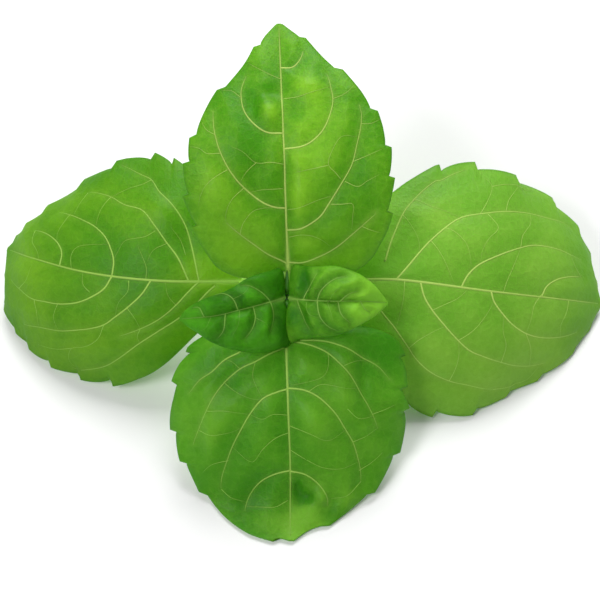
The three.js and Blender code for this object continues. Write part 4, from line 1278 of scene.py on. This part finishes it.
def make_leaves() -> list[Leaf]:
    """The six leaves with their own shapes, in millimetres in the face frame."""
    top = Leaf(
        name="leaf_top",
        midrib=[(0.1, 3.1, -1.6), (0.2, 6.2, 1), (-0.2, 21, 8), (-0.9, 38.3, 9), (-1.8, 59.9, 1)],
        rightward=(1, 0, 0),
        petiole=3.6,
        stalk=0.95,
        lobe=2.6,
        tooth_depth=1.3,
        wave=(0.5, 2.5, 0.4),
        anchor=(0, 0.8, -3.2),
        finish=TOP,
        quilt=0.85,
        puff=3.2,
        swells=(
            Swell(0.62, -0.15, 3, 2.6, 0.9),
            Swell(0.66, -0.38, 3, 1.5, -0.7),
            Swell(0.7, -0.17, 1.6, 2.6, -0.45),
            Swell(0.72, 0.36, 2.8, 3.6, 0.5),
            Swell(0.63, 0.19, 2.8, 3.2, -0.5),
            Swell(0.46, -0.07, 4.5, 1.8, 0.6),
            Swell(0.46, 0.12, 3, 2, 0.4),
            Swell(0.32, 0.13, 6.5, 2.2, 0.9),
            Swell(0.18, 0.17, 4, 2.6, 0.5),
            Swell(0.37, -0.3, 6, 3, -0.6),
            Swell(0.37, -0.7, 7, 4, 0.5),
            Swell(0.33, 0.72, 7, 4, -0.5),
        ),
        # Painted shading: shade in the dent's crescent, on the left half by the midrib and towards the right edge,
        # highlights on the bulge and the right half, and a lighter tip and base.
        tint_and_painted_shading_spots=(
            Swell(0.95, 0, 9, 8, 0.35),
            Swell(0.2, -0.55, 8, 7, 0.65),
            Swell(0.5, 0.35, 10, 6, 0.4),
            Swell(0.52, -0.32, 10, 6, -1.0),
            Swell(0.4, 0.75, 9, 6, -0.7),
            Swell(0.1, 0.3, 5, 6, 0.3),
            Swell(0.66, -0.4, 3.2, 1.2, -0.9),
            Swell(0.73, -0.22, 1.2, 2.6, -0.7),
            Swell(0.62, -0.16, 2.4, 2.2, 0.3),
        ),
        sides=(
            Side(
                half_widths=(12.1, 18.5, 21.8, 20.6, 15.6, 7.4, 3.1),
                fold=(20, 10, 4),
                curl=(-25, -22, -14),
                teeth=(0.21, 0.323, 0.449, 0.542, 0.727, 0.899),
            ),
            Side(
                half_widths=(13.4, 20.8, 23.1, 22.5, 18.3, 10.1, 4.1),
                fold=(20, 10, 4),
                curl=(-25, -22, -14),
                teeth=(0.24, 0.365, 0.476, 0.621, 0.788, 0.933),
            ),
        ),
    )
    bottom = Leaf(
        name="leaf_bottom",
        midrib=[
            (0, -2.3, -1.8),
            (-0.2, -7.2, 0.7),
            (0.2, -22.5, 3),
            (0.7, -36, 0.4),
            (0.7, -46, -1.9),
            (0.7, -53.9, 0.3),
        ],
        rightward=(-1, 0, 0),
        petiole=4.2,
        stalk=0.95,
        lobe=1,
        tooth_depth=1.4,
        wave=(0.6, 2.5, 2),
        anchor=(0, -0.2, -3.2),
        finish=BOTTOM,
        quilt=0.85,
        puff=3.2,
        swells=(
            Swell(0.79, -0.14, 3, 1.8, -0.9),
            Swell(0.745, -0.08, 2.2, 0.9, -0.7),
            Swell(0.79, -0.22, 1.5, 1.2, -0.7),
            Swell(0.79, -0.4, 2.6, 1.6, 0.8),
            Swell(0.33, 0.16, 5, 2.6, 0.6),
            Swell(0.45, -0.21, 5, 3, 0.6),
            Swell(0.26, -0.48, 6, 2.2, 0.7),
            Swell(0.45, 0.63, 8, 2.2, 0.7),
            Swell(0.1, 0.73, 4, 4, 0.4),
            Swell(0.83, -0.8, 5, 2.5, 0.6),
            Swell(0.16, -0.14, 4, 2.5, 0.4),
            Swell(0.78, 0.37, 4.5, 3.5, -0.4),
            Swell(0.09, -0.9, 5, 4, -0.6),
            Swell(0.23, -0.62, 6, 1.4, -0.5),
            Swell(0.24, 0.45, 5, 3, -0.4),
            Swell(0.56, -0.36, 4, 3, -0.4),
        ),
        # Painted shading: shade in the dent near the tip, a shadow on the base lobe below the young leaf, a highlight
        # on the rolled margin at the tip and lighter patches.
        tint_and_painted_shading_spots=(
            Swell(0.93, -0.45, 5, 4, 1.6),
            Swell(0.76, -0.1, 2.4, 1, -0.9),
            Swell(0.8, -0.22, 1.3, 1.3, -0.8),
            Swell(0.5, 0.85, 9, 3, 0.1),
            Swell(0.93, 0.4, 5, 5, 0.3),
            Swell(0.1, -0.9, 5, 5, -0.3),
            Swell(0.45, -0.35, 7, 4, 0.3),
        ),
        sides=(
            Side(
                half_widths=(19.4, 26.4, 27, 27.1, 22.8, 14.5, 4.2),
                fold=(14, 8, 2),
                curl=(-35, -42, -8),
                teeth=(0.15, 0.3, 0.426, 0.623, 0.775, 0.911),
            ),
            Side(
                half_widths=(15.6, 23.8, 26.6, 27, 23.8, 17.4, 9.4),
                fold=(14, 8, 2),
                curl=(-35, -42, -8),
                teeth=(0.109, 0.238, 0.496, 0.644, 0.786, 0.985),
            ),
        ),
    )
    left = Leaf(
        name="leaf_left",
        midrib=[
            (-2.4, 2.8, -11),
            (-10.5, 3.4, -9),
            (-28.3, 3.6, -7),
            (-44.3, 5.4, -11),
            (-57.5, 8.7, -19.5),
            (-64.9, 11.1, -29),
        ],
        rightward=(0, 1, 0),
        petiole=8,
        wave=(0.6, 3, 1),
        anchor=(-0.6, 2.6, -11.6),
        finish=LEFT,
        swells=(
            Swell(0.3, 0.56, 6, 3.5, 0.7),
            Swell(0.22, 0.31, 5, 3, -0.6),
            Swell(0.24, -0.54, 6, 4, -0.3),
            Swell(0.56, 0.31, 8, 5, -0.25),
            Swell(0.6, -0.5, 9, 5, 0.3),
        ),
        # Painted shading: shade in the hollow in the middle, and light at the root and at the outer end.
        tint_and_painted_shading_spots=(
            Swell(0.1, 0.1, 8, 4, 1.3),
            Swell(0.85, 0, 10, 14, 0.3),
            Swell(0.42, 0.1, 10, 8, -0.75),
            Swell(0.55, -0.7, 10, 6, 0.25),
        ),
        sides=(
            Side(
                half_widths=(3.8, 11.7, 22.6, 26.4, 25, 21.3, 15),
                fold=(6, 4, 20),
                curl=(-25, -43, -32),
                teeth=(0.465, 0.59, 0.705, 0.82, 0.9, 0.957, 0.984),
            ),
            Side(
                half_widths=(13.3, 24.4, 29.2, 29, 23.9, 13.6, 5.3),
                fold=(6, 1, -6),
                curl=(-25, -40, -35),
                teeth=(0.26, 0.39, 0.6, 0.74, 0.86, 0.935, 0.975),
            ),
        ),
    )
    right = Leaf(
        name="leaf_right",
        midrib=[
            (2.4, 2.8, -11),
            (13, 3.6, -9),
            (25.2, 3.8, -7),
            (45.5, 1.3, -10),
            (62.3, -0.5, -19.5),
            (72.7, -1.6, -30),
        ],
        rightward=(0, -1, 0),
        petiole=9,
        wave=(0.6, 3, 3),
        anchor=(0.6, 2.6, -11.6),
        finish=RIGHT,
        swells=(
            Swell(0.43, -0.39, 9, 6, 0.35),
            Swell(0.34, 0.45, 7, 4, 0.2),
            Swell(0.21, -0.67, 5, 2.5, 0.2),
            Swell(0.37, 0.72, 7, 1.5, -0.4),
            Swell(0.6, 0.37, 8, 5, 0.3),
        ),
        # Painted shading: lighter at the root and on the upper half, with painted shade towards the tip.
        tint_and_painted_shading_spots=(
            Swell(0.12, 0.1, 6, 4, 0.4),
            Swell(0.3, -0.6, 8, 6, 0.3),
            Swell(0.9, 0, 8, 14, -0.2),
        ),
        sides=(
            Side(
                half_widths=(9.6, 19.1, 28.7, 30.3, 28.3, 23, 13.8),
                fold=(6, 2, 6),
                curl=(-30, -40, -35),
                teeth=(0.295, 0.44, 0.65, 0.815, 0.915, 0.961, 0.985),
            ),
            Side(
                half_widths=(14, 23.2, 29.7, 29.6, 23.2, 15.4, 7.2),
                fold=(6, 3, 8),
                curl=(-25, -36, -35),
                teeth=(0.27, 0.393, 0.53, 0.65, 0.76, 0.885, 0.96),
            ),
        ),
    )
    young = {
        "petiole": 2.4,
        "stalk": 0.5,
        "tooth_depth": 0,
        "quilt": 1.1,
        "puff": 1.4,
        "pucker": 0.12,
        "vein_width": 0.26,
        "spacing": 0.28,
        "across_count": 34,
    }
    young_left = Leaf(
        name="young_leaf_left",
        midrib=[
            (-1.2, 0, 1.5),
            (-0.9, -0.3, 4.2),
            (-4.4, -1.3, 7.7),
            (-10.1, -2.8, 9.8),
            (-15.6, -4.1, 9.3),
            (-23.2, -4.8, 5.6),
        ],
        rightward=(0, 1, 0),
        lobe=2.2,
        finish=YOUNG_LEFT_SHADED,
        wave=(0.25, 2, 0.5),
        anchor=(-0.9, 0.1, 0.2),
        swells=(
            Swell(0.12, -0.5, 3, 4, -0.5),
            Swell(0.12, 0.5, 3, 3, -0.5),
            Swell(0.35, -0.49, 2, 1.5, 0.4),
            Swell(0.5, -0.2, 2, 1.2, 0.3),
        ),
        # Painted shading: dark folds and a dark seam at the base, a lit rib between the folds, and a lighter tip.
        tint_and_painted_shading_spots=(
            Swell(0.03, -0.3, 1.5, 6, -1.0),
            Swell(0.14, -0.6, 1, 3.5, -1.0),
            Swell(0.38, -0.35, 1.2, 1.8, -0.8),
            Swell(0.12, 0.5, 2, 3, -0.9),
            Swell(0.44, 0.4, 1, 1.5, -0.7),
            Swell(0.36, 0.6, 1.5, 1.8, 0.25),
            Swell(0.9, 0, 4, 4, 0.5),
        ),
        sides=(
            Side(
                half_widths=(9.6, 10.9, 10.7, 9.4, 6.5, 3.3, 1.3),
                fold=(8, 20, 10),
                curl=(-30, -50, -30),
                teeth=(),
            ),
            Side(
                half_widths=(5.9, 6.6, 6.4, 5, 4.4, 3.3, 1.6),
                fold=(8, 20, 10),
                curl=(-30, -50, -30),
                teeth=(),
            ),
        ),
        **young,
    )
    young_right = Leaf(
        name="young_leaf_right",
        midrib=[
            (1.2, 0, 1.5),
            (0.9, -0.3, 4.2),
            (4.4, -0.7, 7.7),
            (10.1, -0.9, 9.8),
            (15.8, -0.9, 9.3),
            (21.8, -1.3, 5.6),
        ],
        rightward=(0, -1, 0),
        lobe=1.5,
        finish=YOUNG_RIGHT,
        wave=(0.25, 2, 2.5),
        anchor=(0.9, 0.1, 0.2),
        swells=(
            Swell(0.08, -0.6, 2.2, 3, -0.5),
            Swell(0.21, -0.58, 1.2, 3, -0.8),
            Swell(0.53, -0.43, 4, 2.4, 0.4),
            Swell(0.17, 0.45, 1.5, 2.5, -0.4),
            Swell(0.57, 0.5, 3, 2, 0.3),
        ),
        # Painted shading: dark folds and a dark seam at the base, and a lighter tip.
        tint_and_painted_shading_spots=(
            Swell(0.05, -0.3, 2.5, 5, -0.5),
            Swell(0.2, -0.58, 1.1, 3.2, -1.2),
            Swell(0.12, 0.4, 1, 2, -0.9),
            Swell(0.24, 0.5, 0.9, 2.2, -0.7),
            Swell(0.85, 0, 5, 5, 1.1),
        ),
        sides=(
            Side(
                half_widths=(6.8, 7.4, 7.6, 7.8, 6.2, 3.7, 1.4),
                fold=(8, 20, 10),
                curl=(-30, -50, -30),
                teeth=(),
            ),
            Side(
                half_widths=(9, 8.9, 8.2, 7.6, 5.8, 3.5, 1.5),
                fold=(8, 20, 10),
                curl=(-30, -50, -30),
                teeth=(),
            ),
        ),
        **young,
    )
    return [top, bottom, left, right, young_left, young_right]


@dataclass
class Studio:
    """White floor, soft light from the upper left and the camera in front of the rosette's face."""

    distance: float = 520.0
    picture_half_width: float = 66.0
    node_offset: Pair = (-2.86, 0.66)  # where the node shows from the picture's middle, right and up
    floor_size: float = 3.0

    def add_camera(self) -> None:
        """Puts the camera straight in front of the face, moved aside so that the node shows off centre."""
        data = bpy.data.cameras.new("camera")
        data.sensor_width = 36.0
        data.lens = 18.0 * self.distance / self.picture_half_width
        data.clip_start, data.clip_end = 0.01, 20.0
        camera = bpy.data.objects.new("camera", data)
        aside = np.array([-self.node_offset[0], 0, 0]) - self.node_offset[1] * FACE.up
        place = FACE.node + aside + FACE.out * self.distance
        camera.location = Vector(place * MM)
        camera.rotation_mode = "QUATERNION"
        camera.rotation_quaternion = Vector(-FACE.out).to_track_quat("-Z", "Y")
        bpy.context.scene.collection.objects.link(camera)
        bpy.context.scene.camera = camera

    def add_floor(self) -> None:
        """Lays a plain pale floor a hair below the part."""
        half = self.floor_size / 2
        mesh = bpy.data.meshes.new("floor")
        corners = [(-half, -half, -0.0002), (half, -half, -0.0002), (half, half, -0.0002), (-half, half, -0.0002)]
        mesh.from_pydata(corners, [], [(0, 1, 2, 3)])
        nodes = Nodes("floor_finish")
        white = nodes.add("ShaderNodeBsdfPrincipled", {}, {"Base Color": (0.93, 0.93, 0.93, 1), "Roughness": 0.7})
        mesh.materials.append(nodes.finish(white))
        floor = bpy.data.objects.new("floor", mesh)
        bpy.context.scene.collection.objects.link(floor)

    def add_lamp(self, name: str, place: Triple, size: float, power: float) -> None:
        """Adds a square soft lamp aimed at the sprig."""
        data = bpy.data.lights.new(name, "AREA")
        data.size, data.energy = size, power
        lamp = bpy.data.objects.new(name, data)
        lamp.location = place
        lamp.rotation_mode = "QUATERNION"
        lamp.rotation_quaternion = (Vector((0, 0, 0.02)) - lamp.location).to_track_quat("-Z", "Y")
        bpy.context.scene.collection.objects.link(lamp)

    def build(self) -> None:
        """Sets the camera, the floor, the lamps and the sky, and plain colour rendering."""
        self.add_camera()
        self.add_floor()
        self.add_lamp("back", (0.1, 0.75, 0.9), 0.6, 12.5)
        self.add_lamp("front", (-0.5, -0.45, 0.85), 0.35, 5.0)
        world = bpy.data.worlds.new("sky")
        bpy.context.scene.world = world
        world.use_nodes = True
        background = world.node_tree.nodes["Background"]
        background.inputs[0].default_value = (1, 1, 1, 1)
        background.inputs[1].default_value = 0.28
        bpy.context.scene.view_settings.view_transform = "Standard"


def main() -> None:
    """Loads the frame, builds the pieces in order and notes the sizes."""
    logging.basicConfig(level=logging.INFO, format="%(name)s %(message)s")
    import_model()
    Studio().build()
    for leaf in make_leaves():
        leaf.build()
    Stem().build()
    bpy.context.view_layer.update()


if __name__ == "__main__":
    main()
